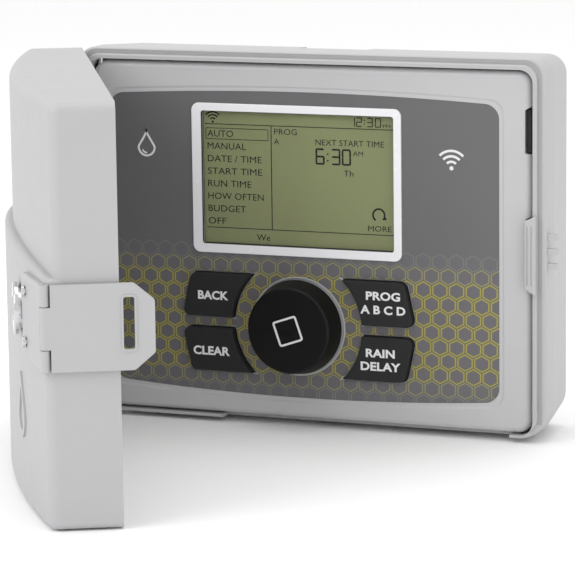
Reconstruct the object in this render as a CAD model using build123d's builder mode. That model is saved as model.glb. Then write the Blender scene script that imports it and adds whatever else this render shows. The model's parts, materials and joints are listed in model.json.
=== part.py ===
from build123d import *
import math
import os

os.makedirs("parts", exist_ok=True)

# Wall-mounted irrigation controller with a swinging cover and a swing-out control panel.
# Units mm. X to the right, Y into the wall, Z up. The back face lies in the plane Y = 0,
# and the origin is the middle of that face.

# Housing
HALF_W = 130.0           # half width of the rim
HALF_H = 98.0            # half height of the rim
FACE = -50.0             # Y of the panel face
WALL = 2.8
MOUTH_HALF_W = 123.0
BAND_FRONT = FACE - 1.2  # outer band of the rim
LIP_FRONT = FACE - 2.7   # inner lip of the rim
RIM_BACK = FACE + 6.0    # rear of the solid rim
BAND_BACK = FACE + 12.0  # rear of the straight part; behind it the walls draw in
REAR_HALF_W = 124.8
REAR_HALF_H = 95.4
BOARD_Y = -8.2           # rear face of everything carried on the housing bosses

# Panel
PANEL_HALF_W = 121.3
PANEL_TOP = 91.2
PANEL_BOTTOM = -95.5
PANEL_WALL = 2.5
PANEL_BACK = FACE + 11.0
PIN_R = 1.5
PANEL_PIN_X = -118.0
PANEL_PIN_Y = FACE + 2.2
CASE_SCREWS = [(-112, 82), (112, 82), (-112, 30), (112, 40), (-112, -86), (112, -86)]
BOARD_SCREWS = [(-96, 78), (96, 78), (-96, -84), (96, -84)]

# Screen
LCD_X0 = -65.3
LCD_X1 = 51.6
LCD_Z0 = -9.3
LCD_Z1 = 70.0
LCD_BORDER = 4.0

# Cover, drawn closed and then turned about its hinge to the position it rests in
DOOR_HALF_W = 131.5
DOOR_TOP = 98.0
DOOR_BOTTOM = -99.6
DOOR_RIM = FACE - 2.0    # open edge of the closed cover
DOOR_EDGE_DEPTH = 29.6
DOOR_BULGE = 13.0
DOOR_STEP = 4.0          # how far the lower part stands proud of the upper part
DOOR_STEP_TOP = 22.0
DOOR_WALL = 2.5
DOOR_REST = 61.4         # degrees open at rest
HINGE_X = -129.8
HINGE_Y = FACE - 6.0
KNUCKLE_R = 3.2
HINGE_MIDDLES = [73.0, -73.0]

# Dial and buttons
LABEL_LEFT = -112.6      # the label reaches almost to the hinge side
LABEL_RIGHT = 104.2
DIAL_X = -6.4
DIAL_Z = -46.4
DIAL_R = 22.9
DIAL_BASE_R = 25.0
DIAL_HEIGHT = 14.8
DIAL_FRONT = FACE - DIAL_HEIGHT
RING_R = 26.3            # outside of the thin ring round the dial
BUTTON_FRONT = FACE - 2.8
BUTTON_ARC_R = 36.5

# Lock, hasp and strike
LOCK_X = 74.0
LOCK_Z = -5.0
HASP_Z = -4.7
HASP_HALF_H = 20.2
SLOT_Z = -3.0
STRIKE_Z = -2.0
FOLD_X = 132.4
FOLD_Y = FACE - 36.4
FOLD_R = 2.2

ARCH_R = (DOOR_HALF_W ** 2 + DOOR_BULGE ** 2) / (2 * DOOR_BULGE)
ARCH_Y = DOOR_RIM - DOOR_EDGE_DEPTH - DOOR_BULGE + ARCH_R


def front_plane(y):
    """Sketch plane facing the viewer at depth y: its x is X and its y is Z."""
    return Plane(origin=(0, y, 0), x_dir=(1, 0, 0), z_dir=(0, -1, 0))


def box_between(x0, x1, y0, y1, z0, z1, mode=Mode.ADD):
    """Axis-aligned box between two corners."""
    with Locations(((x0 + x1) / 2, (y0 + y1) / 2, (z0 + z1) / 2)):
        Box(abs(x1 - x0), abs(y1 - y0), abs(z1 - z0), mode=mode)


def cylinder_y(x, z, r, y0, y1, mode=Mode.ADD):
    """Cylinder lying along Y between two depths."""
    with Locations((x, (y0 + y1) / 2, z)):
        Cylinder(r, abs(y1 - y0), rotation=(90, 0, 0), mode=mode)


def cylinder_z(x, y, r, z0, z1, mode=Mode.ADD):
    """Upright cylinder between two heights."""
    with Locations((x, y, (z0 + z1) / 2)):
        Cylinder(r, abs(z1 - z0), mode=mode)


def rounded_window(y, x0, x1, z0, z1, r_top, r_bottom):
    """Rectangle in a front plane with its own radius for top and bottom corners."""
    with BuildSketch(front_plane(y)) as outline:
        with Locations(((x0 + x1) / 2, (z0 + z1) / 2)):
            Rectangle(x1 - x0, z1 - z0)
        fillet(outline.vertices().group_by(Axis.Y)[0], r_bottom)
        fillet(outline.vertices().group_by(Axis.Y)[-1], r_top)
    return outline.sketch


def slab(y0, y1, x0, x1, z0, z1, r_top, r_bottom, mode=Mode.ADD):
    """Rounded rectangle carried from depth y0 back to depth y1."""
    extrude(rounded_window(y0, x0, x1, z0, z1, r_top, r_bottom), amount=y0 - y1, mode=mode)


def save(shape, name):
    """Name one piece and write it."""
    shape.label = name
    export_step(shape, "parts/" + name + ".step")


def open_cover(shape):
    """Turn a piece of the closed cover to the position it rests in."""
    hinge = Axis((HINGE_X, HINGE_Y, 0), (0, 0, 1))
    return shape.rotate(hinge, -DOOR_REST)


# ---------------------------------------------------------------- housing

with BuildPart() as back_housing:
    slab(BAND_FRONT, BAND_BACK, -HALF_W, HALF_W, -HALF_H, HALF_H, 10, 15)
    fillet(back_housing.faces().sort_by(Axis.Y)[0].edges(), 1.1)
    loft([
        rounded_window(BAND_BACK, -HALF_W, HALF_W, -HALF_H, HALF_H, 10, 15),
        rounded_window(0, -REAR_HALF_W, REAR_HALF_W, -REAR_HALF_H, REAR_HALF_H, 10, 14),
    ])
    # raised lip round the mouth, on the sides and the top
    with BuildSketch(front_plane(BAND_FRONT)) as lip:
        with Locations((0, 0)):
            Rectangle(250.4, 189.2)
        fillet(lip.vertices(), 8)
        with Locations((0, -120)):
            Rectangle(260, 52, mode=Mode.SUBTRACT)
    extrude(amount=BAND_FRONT - LIP_FRONT)
    fillet(back_housing.faces().sort_by(Axis.Y)[0].edges(), 0.7)
    # mouth, then the space behind it
    slab(LIP_FRONT - 1, RIM_BACK, -MOUTH_HALF_W, MOUTH_HALF_W, -96.3, 92.2, 7, 8, mode=Mode.SUBTRACT)
    slab(RIM_BACK, BAND_BACK, -127.2, 127.2, -96.7, 95.2, 7, 13, mode=Mode.SUBTRACT)
    loft([
        rounded_window(BAND_BACK, -127.2, 127.2, -96.7, 95.2, 7, 13),
        rounded_window(-WALL, WALL - REAR_HALF_W, REAR_HALF_W - WALL, -92.6, 92.6, 7, 11),
    ], mode=Mode.SUBTRACT)
    # groove for the seal, outside the lip
    with BuildSketch(front_plane(BAND_FRONT - 0.5)) as groove:
        Rectangle(255.2, 194)
        fillet(groove.vertices(), 9)
        with BuildSketch(mode=Mode.SUBTRACT) as groove_inside:
            Rectangle(251, 189.8)
            fillet(groove_inside.vertices(), 8)
        with Locations((0, -120)):
            Rectangle(260, 60, mode=Mode.SUBTRACT)
    extrude(amount=-2.1, mode=Mode.SUBTRACT)
    # the lower rim is open below the middle of the panel
    box_between(-50, 110, LIP_FRONT - 1, FACE + 8, -99, -96, mode=Mode.SUBTRACT)
    # sockets for the panel's hinge pins
    cylinder_z(PANEL_PIN_X, PANEL_PIN_Y, PIN_R + 0.06, 88, 95, mode=Mode.SUBTRACT)
    cylinder_z(PANEL_PIN_X, PANEL_PIN_Y, PIN_R + 0.06, -99, -92, mode=Mode.SUBTRACT)
    # strike for the cover lock, overhanging the mouth
    with BuildSketch(front_plane(FACE - 2.6)):
        with BuildLine():
            Polyline(
                (119, STRIKE_Z - 17.5),
                (125.2, STRIKE_Z - 20.6),
                (125.2, STRIKE_Z + 20.5),
                (119, STRIKE_Z + 17.5),
                close=True,
            )
        make_face()
    extrude(amount=2.9)
    fillet(back_housing.faces().sort_by(Axis.Y)[0].edges(), 1.2)
    for x in (121.0, 123.2):
        box_between(
            x - 0.4, x + 0.4, FACE - 6, FACE - 5.1, STRIKE_Z - 15, STRIKE_Z + 15, mode=Mode.SUBTRACT
        )
    box_between(117, MOUTH_HALF_W, FACE - 2.75, FACE - 2, -30, 30, mode=Mode.SUBTRACT)
    # three ribs on the right side that the hasp goes over
    for i in range(3):
        box_between(128, 135.2, FACE + 0.3, FACE + 3.9, -9.3 + 7.5 * i, -6.3 + 7.5 * i)
    fillet(back_housing.faces().group_by(Axis.X)[-1].edges(), 0.7)
    # knuckles for the cover hinge
    for middle in HINGE_MIDDLES:
        for z0 in (middle - 13, middle + 5.5):
            cylinder_z(HINGE_X, HINGE_Y, KNUCKLE_R, z0, z0 + 7.5)
            box_between(-132, -127.6, HINGE_Y, BAND_FRONT + 4, z0, z0 + 7.5)
        cylinder_z(HINGE_X, HINGE_Y, PIN_R + 0.01, middle - 14, middle + 14, mode=Mode.SUBTRACT)
    # recess at the top of the back for the hanger
    box_between(-19.3, 19.3, -14, 1, 93.9, 97, mode=Mode.SUBTRACT)
    # bosses for the transformer, the terminal board and the mains terminal
    for x, z in ((-91, 31), (-91, -23)):
        cylinder_y(x, z, 4, BOARD_Y, -WALL + 0.5)
        cylinder_y(x, z, 1.25, BOARD_Y - 1, -WALL - 0.6, mode=Mode.SUBTRACT)
    for x, z in ((-44, -28), (88, -28), (-44, -74), (88, -74)):
        cylinder_y(x, z, 3.5, BOARD_Y, -WALL + 0.5)
        cylinder_y(x, z, 1.25, BOARD_Y - 1, -WALL - 0.6, mode=Mode.SUBTRACT)
    for x in (-100, -76):
        cylinder_y(x, -58, 3.5, BOARD_Y, -WALL + 0.5)
        cylinder_y(x, -58, 1.25, BOARD_Y - 1, -WALL - 0.6, mode=Mode.SUBTRACT)
    for x, z in ((-117, 0), (-62, 0)):
        cylinder_y(x, z, 3.5, -24, -WALL + 0.5)
        cylinder_y(x, z, 1.25, -25, -12, mode=Mode.SUBTRACT)
    # wall fixings: a keyhole high up and two screw holes low down
    with BuildSketch(front_plane(1)):
        with Locations((0, 66)):
            Circle(4.8)
        with Locations((0, 71)):
            Rectangle(4.6, 10)
        with Locations((0, 76)):
            Circle(2.3)
    extrude(amount=5, mode=Mode.SUBTRACT)
    for x in (-104, 104):
        cylinder_y(x, -64, 6, -8, -WALL + 0.5)
        cylinder_y(x, -64, 2.5, -9, 1, mode=Mode.SUBTRACT)
    # entries in the floor: conduit, blanked conduit and power cable
    for x, r_out, r_in in ((62, 15, 11.2), (14, 15, 11.2), (-84, 10, 7)):
        cylinder_z(x, -19, r_out, -98, -91)
        cylinder_z(x, -19, r_in, -100, -89, mode=Mode.SUBTRACT)
save(back_housing.part, "back_housing")

with BuildPart() as rim_seal:
    with BuildSketch(front_plane(BAND_FRONT + 0.1)) as seal_outline:
        Rectangle(255.1, 193.9)
        fillet(seal_outline.vertices(), 8.95)
        with BuildSketch(mode=Mode.SUBTRACT) as seal_inside:
            Rectangle(251.1, 189.9)
            fillet(seal_inside.vertices(), 8.05)
        with Locations((0, -120)):
            Rectangle(260, 60.2, mode=Mode.SUBTRACT)
    extrude(amount=-1.4)
save(rim_seal.part, "rim_seal")

with BuildPart() as hinge_pins:
    for middle in HINGE_MIDDLES:
        cylinder_z(HINGE_X, HINGE_Y, PIN_R, middle - 13.5, middle + 13.05)
        cylinder_z(HINGE_X, HINGE_Y, 2.4, middle + 13.02, middle + 14.2)
save(hinge_pins.part, "hinge_pins")

# transformer: laminated core with two windows, a coil on its middle leg
CORE_X = -91.0
CORE_Z = 4.0
with BuildPart() as transformer_core:
    with BuildSketch(front_plane(BOARD_Y - 14)):
        with Locations((CORE_X, CORE_Z)):
            Rectangle(42, 36)
        with Locations((CORE_X - 9.5, CORE_Z), (CORE_X + 9.5, CORE_Z)):
            Rectangle(7, 24, mode=Mode.SUBTRACT)
    extrude(amount=-14)
save(transformer_core.part, "transformer_core")

with BuildPart() as transformer_coil:
    slab(BOARD_Y - 18.5, BOARD_Y + 4, CORE_X - 12.8, CORE_X + 12.8, CORE_Z - 11.8, CORE_Z + 11.8, 3, 3)
    box_between(
        CORE_X - 6.1, CORE_X + 6.1, BOARD_Y - 14.1, BOARD_Y + 0.1, CORE_Z - 13, CORE_Z + 13,
        mode=Mode.SUBTRACT,
    )
save(transformer_coil.part, "transformer_coil")

with BuildPart() as transformer_brackets:
    for side in (-1, 1):
        z_in = CORE_Z + side * 18.1
        z_out = CORE_Z + side * 19.4
        box_between(CORE_X - 20, CORE_X + 20, BOARD_Y - 14, BOARD_Y - 0.05, z_in, z_out)
        box_between(
            CORE_X - 8, CORE_X + 8, BOARD_Y - 1.3, BOARD_Y - 0.05, z_in, CORE_Z + side * 31
        )
        cylinder_y(CORE_X, CORE_Z + side * 27, 1.7, BOARD_Y - 3, BOARD_Y + 1, mode=Mode.SUBTRACT)
save(transformer_brackets.part, "transformer_brackets")


def pan_screw(x, z, seat, r_head, r_shank, length, cross=True):
    """Pan-head screw driven in +Y, its head resting on the plane y = seat."""
    cylinder_y(x, z, r_head, seat - 1.7, seat)
    cylinder_y(x, z, r_shank, seat - 0.1, seat + length)
    if cross:
        box_between(x - 1.3, x + 1.3, seat - 2, seat - 0.9, z - 0.3, z + 0.3, mode=Mode.SUBTRACT)
        box_between(x - 0.3, x + 0.3, seat - 2, seat - 0.9, z - 1.3, z + 1.3, mode=Mode.SUBTRACT)


with BuildPart() as transformer_screws:
    for z in (31, -23):
        pan_screw(CORE_X, z, BOARD_Y - 1.35, 2.8, 1.2, 5)
save(transformer_screws.part, "transformer_screws")

with BuildPart() as terminal_board:
    slab(BOARD_Y - 1.65, BOARD_Y - 0.05, -50, 94, -79, -23, 2, 2)
    for x, z in ((-44, -28), (88, -28), (-44, -74), (88, -74)):
        cylinder_y(x, z, 1.7, BOARD_Y - 3, BOARD_Y + 1, mode=Mode.SUBTRACT)
save(terminal_board.part, "terminal_board")

with BuildPart() as board_screws:
    for x, z in ((-44, -28), (88, -28), (-44, -74), (88, -74)):
        pan_screw(x, z, BOARD_Y - 1.7, 2.6, 1.2, 5)
save(board_screws.part, "board_screws")

# field terminals: twelve ways, wire mouths facing down, screws facing out
WAYS = 12
WAY_PITCH = 9.2
WAY_X0 = 22 - WAY_PITCH * (WAYS - 1) / 2
BLOCK_REAR = BOARD_Y - 1.7
with BuildPart() as field_terminals:
    box_between(22 - 56, 22 + 56, BLOCK_REAR - 13, BLOCK_REAR, -66, -48)
    front_edges = field_terminals.edges().filter_by(Axis.X).group_by(Axis.Y)[0]
    chamfer(front_edges, 2.5)
    for i in range(WAYS):
        x = WAY_X0 + WAY_PITCH * i
        cylinder_y(x, -57, 3.1, BLOCK_REAR - 14, BLOCK_REAR - 5, mode=Mode.SUBTRACT)
        box_between(x - 2.4, x + 2.4, BLOCK_REAR - 8, BLOCK_REAR - 3, -67, -53.5, mode=Mode.SUBTRACT)
save(field_terminals.part, "field_terminals")

with BuildPart() as field_screws:
    for i in range(WAYS):
        x = WAY_X0 + WAY_PITCH * i
        cylinder_y(x, -57, 2.8, BLOCK_REAR - 12, BLOCK_REAR - 9.4)
        box_between(x - 2.4, x + 2.4, BLOCK_REAR - 13, BLOCK_REAR - 11.2, -57.4, -56.6, mode=Mode.SUBTRACT)
save(field_screws.part, "field_screws")

with BuildPart() as board_parts:
    for i in range(6):
        x = -6 + 11 * i
        box_between(x - 4, x + 4, BLOCK_REAR - 4.6, BLOCK_REAR, -41, -31)
    for x in (66, 78):
        cylinder_y(x, -38, 4, BLOCK_REAR - 9, BLOCK_REAR)
    box_between(-32, -14, BLOCK_REAR - 7, BLOCK_REAR, -42, -34)
save(board_parts.part, "board_parts")

with BuildPart() as mains_terminal:
    box_between(-107, -69, BOARD_Y - 12, BOARD_Y - 0.05, -66, -50)
    for x in (-96.5, -88, -79.5):
        cylinder_y(x, -62, 2.6, BOARD_Y - 13, BOARD_Y - 5, mode=Mode.SUBTRACT)
    for x in (-100, -76):
        cylinder_y(x, -58, 1.7, BOARD_Y - 13, BOARD_Y + 1, mode=Mode.SUBTRACT)
        cylinder_y(x, -58, 3, BOARD_Y - 13, BOARD_Y - 3, mode=Mode.SUBTRACT)
save(mains_terminal.part, "mains_terminal")

with BuildPart() as mains_screws:
    for x in (-100, -76):
        pan_screw(x, -58, BOARD_Y - 3.05, 2.6, 1.2, 6)
save(mains_screws.part, "mains_screws")

with BuildPart() as transformer_cover:
    slab(-30.4, -24.1, -122, -57, -72, 36, 5, 5)
    slab(-28.4, -24, -120, -59, -70, 34, 3, 3, mode=Mode.SUBTRACT)
    for x, z in ((-117, 0), (-62, 0)):
        cylinder_y(x, z, 4.5, -30.4, -24.1)
        cylinder_y(x, z, 1.7, -31, -23, mode=Mode.SUBTRACT)
        cylinder_y(x, z, 3.2, -31, -27, mode=Mode.SUBTRACT)
save(transformer_cover.part, "transformer_cover")

with BuildPart() as cover_screws:
    for x, z in ((-117, 0), (-62, 0)):
        pan_screw(x, z, -27.05, 2.8, 1.2, 10)
save(cover_screws.part, "cover_screws")

with BuildPart() as conduit_plug:
    cylinder_z(14, -19, 14.5, -100.2, -98.05)
    cylinder_z(14, -19, 11.05, -98.5, -90.5)
    cylinder_z(14, -19, 9, -97, -90, mode=Mode.SUBTRACT)
    fillet(conduit_plug.edges().group_by(Axis.Z)[0], 1)
save(conduit_plug.part, "conduit_plug")

with BuildPart() as cable_grommet:
    cylinder_z(-84, -19, 9.5, -100.4, -98.05)
    cylinder_z(-84, -19, 6.9, -98.5, -90.5)
    cylinder_z(-84, -19, 9, -90.9, -89.4)
    cylinder_z(-84, -19, 3.6, -101, -89, mode=Mode.SUBTRACT)
    fillet(cable_grommet.edges().group_by(Axis.Z)[0], 0.8)
save(cable_grommet.part, "cable_grommet")

# ---------------------------------------------------------------- panel


def button_face(y, upper, left, grow):
    """Outline of one button: a slanted outer side and an arc that follows the dial."""
    side = -1 if left else 1
    rise = 1 if upper else -1
    near_z = DIAL_Z + rise * (3 - grow)
    far_z = DIAL_Z + rise * (26.2 + grow)
    radius = BUTTON_ARC_R - grow
    near_x = math.sqrt(radius ** 2 - (near_z - DIAL_Z) ** 2)
    far_x = math.sqrt(radius ** 2 - (far_z - DIAL_Z) ** 2)
    mid = radius / math.sqrt(2)
    with BuildSketch(front_plane(y)) as outline:
        with BuildLine():
            Line(
                (DIAL_X + side * near_x, near_z),
                (DIAL_X + side * (65 + grow), near_z),
            )
            Line(
                (DIAL_X + side * (65 + grow), near_z),
                (DIAL_X + side * (59.8 + grow), far_z),
            )
            Line(
                (DIAL_X + side * (59.8 + grow), far_z),
                (DIAL_X + side * far_x, far_z),
            )
            ThreePointArc(
                (DIAL_X + side * far_x, far_z),
                (DIAL_X + side * mid * 1.15, DIAL_Z + rise * math.sqrt(radius ** 2 - (mid * 1.15) ** 2)),
                (DIAL_X + side * near_x, near_z),
            )
        make_face()
        corners = outline.vertices().sort_by(Axis.X)
        outer, inner = (corners[:2], corners[2:]) if left else (corners[-2:], corners[:2])
        fillet(outer, 3.6 + grow)
        fillet(inner, 1.6 + grow)
    return outline.sketch


BUTTONS = {
    "button_back": (True, True),
    "button_clear": (False, True),
    "button_program": (True, False),
    "button_delay": (False, False),
}


def label_outline(y, grow):
    """Barrel-shaped recess of the face label."""
    left = LABEL_LEFT - grow
    right = LABEL_RIGHT + grow
    middle = (LABEL_LEFT + LABEL_RIGHT) / 2
    with BuildSketch(front_plane(y)) as outline:
        with BuildLine():
            Line((left, -80 - grow), (left, 73.6 + grow))
            ThreePointArc((left, 73.6 + grow), (middle, 77 + grow), (right, 73.6 + grow))
            Line((right, 73.6 + grow), (right, -80 - grow))
            ThreePointArc((right, -80 - grow), (middle, -84.6 - grow), (left, -80 - grow))
        make_face()
        fillet(outline.vertices(), 8)
    return outline.sketch


with BuildPart() as panel_bezel:
    slab(FACE, PANEL_BACK, -PANEL_HALF_W, PANEL_HALF_W, PANEL_BOTTOM, PANEL_TOP, 7, 7.5)
    fillet(panel_bezel.faces().sort_by(Axis.Y)[0].edges(), 3.4)
    slab(
        FACE + PANEL_WALL, PANEL_BACK + 1,
        PANEL_WALL - PANEL_HALF_W, PANEL_HALF_W - PANEL_WALL,
        PANEL_BOTTOM + PANEL_WALL, PANEL_TOP - PANEL_WALL, 4.5, 5, mode=Mode.SUBTRACT,
    )
    # walls behind the strike notch and the finger notch
    box_between(114.6, 120, FACE + 1, PANEL_BACK, -27.5, 23.5)
    box_between(114.6, 120, FACE + 1, PANEL_BACK, 46, 77.2)
    # posts for the screws and the hinge pins
    for x, z in CASE_SCREWS:
        cylinder_y(x, z, 3.6, FACE + 1.5, PANEL_BACK)
    for x, z in BOARD_SCREWS:
        cylinder_y(x, z, 3.2, FACE + 1.5, FACE + 8.45)
    for z0, z1 in ((78, 87), (-91, -84)):
        box_between(-120.5, -114.8, FACE + 1, FACE + 5.5, z0, z1)
    cylinder_z(PANEL_PIN_X, PANEL_PIN_Y, PIN_R, 81, 93, mode=Mode.SUBTRACT)
    cylinder_z(PANEL_PIN_X, PANEL_PIN_Y, PIN_R, -97, -87, mode=Mode.SUBTRACT)
    for x, z in CASE_SCREWS:
        cylinder_y(x, z, 1.2, FACE + 4, PANEL_BACK + 1, mode=Mode.SUBTRACT)
    for x, z in BOARD_SCREWS:
        cylinder_y(x, z, 1.2, FACE + 3.5, FACE + 9, mode=Mode.SUBTRACT)
    # recess of the label
    loft([label_outline(FACE - 0.1, 3.1), label_outline(FACE + 0.45, 1.9)], mode=Mode.SUBTRACT)
    extrude(label_outline(FACE - 1, 0.1), amount=-1.8, mode=Mode.SUBTRACT)
    # window, dial bore and button pockets
    slab(FACE - 1, FACE + 4, -62, 49, -6, 67, 2, 2, mode=Mode.SUBTRACT)
    cylinder_y(DIAL_X, DIAL_Z, 4.2, FACE - 1, FACE + 4, mode=Mode.SUBTRACT)
    for upper, left in BUTTONS.values():
        extrude(button_face(FACE - 1, upper, left, 0.4), amount=-5, mode=Mode.SUBTRACT)
        loft(
            [button_face(FACE + 0.7, upper, left, 1.15), button_face(FACE + 1.45, upper, left, 0.4)],
            mode=Mode.SUBTRACT,
        )
    # notch round the strike, and the finger notch above it
    with BuildSketch(front_plane(FACE - 1)):
        with BuildLine():
            Polyline((118.4, 15.9), (123.5, 18.4), (123.5, -22.5), (118.4, -19.9), close=True)
        make_face()
        with BuildLine():
            Polyline((118.1, 71.5), (123, 74.6), (123, 48.2), (118.1, 49.6), close=True)
        make_face()
    extrude(amount=-9, mode=Mode.SUBTRACT)
save(panel_bezel.part, "panel_bezel")

with BuildPart() as panel_pins:
    cylinder_z(PANEL_PIN_X, PANEL_PIN_Y, PIN_R - 0.01, 81.1, 94.4)
    cylinder_z(PANEL_PIN_X, PANEL_PIN_Y, PIN_R - 0.01, -97.9, -87.1)
save(panel_pins.part, "panel_pins")

with BuildPart() as face_label:
    extrude(label_outline(FACE + 0.5, 0), amount=-0.28)
    slab(
        FACE, FACE + 2, LCD_X0 - 0.1, LCD_X1 + 0.1, LCD_Z0 - 0.1, LCD_Z1 + 0.1, 4.1, 4.1,
        mode=Mode.SUBTRACT,
    )
    cylinder_y(DIAL_X, DIAL_Z, RING_R + 0.1, FACE, FACE + 2, mode=Mode.SUBTRACT)
    for upper, left in BUTTONS.values():
        extrude(button_face(FACE, upper, left, 1.1), amount=-2, mode=Mode.SUBTRACT)
save(face_label.part, "face_label")

with BuildPart() as lcd_frame:
    slab(FACE - 0.6, FACE + 0.75, LCD_X0, LCD_X1, LCD_Z0, LCD_Z1, 4, 4)
    front = lcd_frame.faces().sort_by(Axis.Y)[0]
    fillet(front.edges(), 0.5)
    slab(FACE + 0.5, FACE + 2.45, -61.9, 48.9, -5.9, 66.9, 2, 2)
    slab(
        FACE - 2, FACE + 3, LCD_X0 + LCD_BORDER + 1.3, LCD_X1 - LCD_BORDER,
        LCD_Z0 + LCD_BORDER + 0.7, LCD_Z1 - LCD_BORDER, 1.5, 1.5, mode=Mode.SUBTRACT,
    )
save(lcd_frame.part, "lcd_frame")

with BuildPart() as lcd_window:
    slab(
        FACE + 1.6, FACE + 2.4, LCD_X0 + LCD_BORDER + 1.35, LCD_X1 - LCD_BORDER - 0.05,
        LCD_Z0 + LCD_BORDER + 0.75, LCD_Z1 - LCD_BORDER - 0.05, 1.4, 1.4,
    )
save(lcd_window.part, "lcd_window")

with BuildPart() as lcd_glass:
    box_between(-66, 53, FACE + 2.6, FACE + 4.8, -10, 71)
save(lcd_glass.part, "lcd_glass")

with BuildPart() as lcd_backlight:
    box_between(-63, 50, FACE + 4.9, FACE + 8.4, -5, 66)
    box_between(50, 53, FACE + 4.9, FACE + 8.4, 20, 42)
save(lcd_backlight.part, "lcd_backlight")

with BuildPart() as contact_strips:
    for z in (-8, 69):
        box_between(-60, 47, FACE + 4.85, FACE + 8.4, z - 1.2, z + 1.2)
save(contact_strips.part, "contact_strips")

with BuildPart() as control_board:
    slab(FACE + 8.5, FACE + 10.1, -101, 101, -89, 84, 3, 3)
    for x, z in BOARD_SCREWS:
        cylinder_y(x, z, 1.7, FACE + 7, FACE + 12, mode=Mode.SUBTRACT)
save(control_board.part, "control_board")

with BuildPart() as control_board_screws:
    for x, z in BOARD_SCREWS:
        cylinder_y(x, z, 2.6, FACE + 10.15, FACE + 11.8)
        cylinder_y(x, z, 1.15, FACE + 4, FACE + 10.2)
        box_between(x - 1.4, x + 1.4, FACE + 11.1, FACE + 13, z - 0.3, z + 0.3, mode=Mode.SUBTRACT)
        box_between(x - 0.3, x + 0.3, FACE + 11.1, FACE + 13, z - 1.4, z + 1.4, mode=Mode.SUBTRACT)
save(control_board_screws.part, "control_board_screws")

BUTTON_CENTRES = [(side * 50, rise * 14.5) for side in (-1, 1) for rise in (-1, 1)]

with BuildPart() as keypad_mat:
    for side in (-1, 1):
        box_between(
            DIAL_X + side * 36, DIAL_X + side * 66, FACE + 7.2, FACE + 8.4, DIAL_Z - 27, DIAL_Z + 27
        )
    for dx, dz in BUTTON_CENTRES:
        with Locations((DIAL_X + dx, FACE + 6.4, DIAL_Z + dz)):
            Cone(6.5, 4.2, 1.7, rotation=(90, 0, 0))
save(keypad_mat.part, "keypad_mat")

with BuildPart() as encoder_body:
    box_between(DIAL_X - 7, DIAL_X + 7, FACE + 2.6, FACE + 8.4, DIAL_Z - 7, DIAL_Z + 7)
    cylinder_y(DIAL_X, DIAL_Z, 4.1, FACE - 2.6, FACE + 3)
    cylinder_y(DIAL_X, DIAL_Z, 3.06, FACE - 4, FACE + 5, mode=Mode.SUBTRACT)
    cylinder_y(DIAL_X, DIAL_Z, 4.2, FACE + 4, FACE + 8.05, mode=Mode.SUBTRACT)
save(encoder_body.part, "encoder_body")

with BuildPart() as board_components:
    slab(FACE + 10.2, FACE + 11.8, 20, 38, -30, -12, 1, 1)
    slab(FACE + 10.2, FACE + 12, -30, -18, -34, -22, 1, 1)
    for x in (60, 68, 76):
        cylinder_y(x, -60, 3, FACE + 10.2, FACE + 15)
    box_between(-86, -60, FACE + 10.2, FACE + 15.2, -80, -72)
save(board_components.part, "board_components")

with BuildPart() as wifi_module:
    slab(FACE + 10.2, FACE + 11, 64, 84, 40, 70, 1, 1)
    slab(FACE + 10.9, FACE + 13.2, 65.5, 82.5, 41.5, 62, 1, 1)
save(wifi_module.part, "wifi_module")

with BuildPart() as cell_holder:
    cylinder_y(-70, 10, 12.5, FACE + 10.2, FACE + 15.2)
    cylinder_y(-70, 10, 10.2, FACE + 11.4, FACE + 17, mode=Mode.SUBTRACT)
    box_between(-74, -66, FACE + 13, FACE + 16, 15, 24, mode=Mode.SUBTRACT)
save(cell_holder.part, "cell_holder")

with BuildPart() as coin_cell:
    cylinder_y(-70, 10, 10, FACE + 11.5, FACE + 14.7)
    fillet(coin_cell.edges().group_by(Axis.Y)[-1], 0.6)
save(coin_cell.part, "coin_cell")

with BuildPart() as panel_back:
    slab(PANEL_BACK + 0.05, FACE + 18, -117, 117, -91, 87, 6, 6)
    fillet(panel_back.faces().sort_by(Axis.Y)[-1].edges(), 2)
    slab(PANEL_BACK - 1, FACE + 16, -115, 115, -89, 85, 4, 4, mode=Mode.SUBTRACT)
    for x, z in CASE_SCREWS:
        cylinder_y(x, z, 4.2, PANEL_BACK + 0.05, FACE + 16.5)
    for x, z in CASE_SCREWS:
        cylinder_y(x, z, 1.7, PANEL_BACK - 1, FACE + 19, mode=Mode.SUBTRACT)
        cylinder_y(x, z, 3.1, FACE + 14, FACE + 19, mode=Mode.SUBTRACT)
    for i in range(7):
        box_between(-30, 30, FACE + 15, FACE + 19, 40 + 5 * i, 42 + 5 * i, mode=Mode.SUBTRACT)
save(panel_back.part, "panel_back")

with BuildPart() as panel_screws:
    for x, z in CASE_SCREWS:
        cylinder_y(x, z, 2.7, FACE + 14, FACE + 15.7)
        cylinder_y(x, z, 1.15, FACE + 5, FACE + 14.1)
        box_between(x - 1.5, x + 1.5, FACE + 15, FACE + 17, z - 0.3, z + 0.3, mode=Mode.SUBTRACT)
        box_between(x - 0.3, x + 0.3, FACE + 15, FACE + 17, z - 1.5, z + 1.5, mode=Mode.SUBTRACT)
save(panel_screws.part, "panel_screws")

with BuildPart() as dial_ring:
    cylinder_y(DIAL_X, DIAL_Z, RING_R, FACE + 0.1, FACE + 0.75)
    cylinder_y(DIAL_X, DIAL_Z, RING_R - 1.1, FACE - 1, FACE + 2, mode=Mode.SUBTRACT)
    chamfer(dial_ring.edges().group_by(Axis.Y)[0].sort_by(SortBy.LENGTH)[0], 0.5)
save(dial_ring.part, "dial_ring")

# ---------------------------------------------------------------- dial and buttons

with BuildPart() as dial_plunger:
    cylinder_y(DIAL_X, DIAL_Z, 2.6, FACE + 6.1, FACE + 6.7)
save(dial_plunger.part, "dial_plunger")

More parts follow.
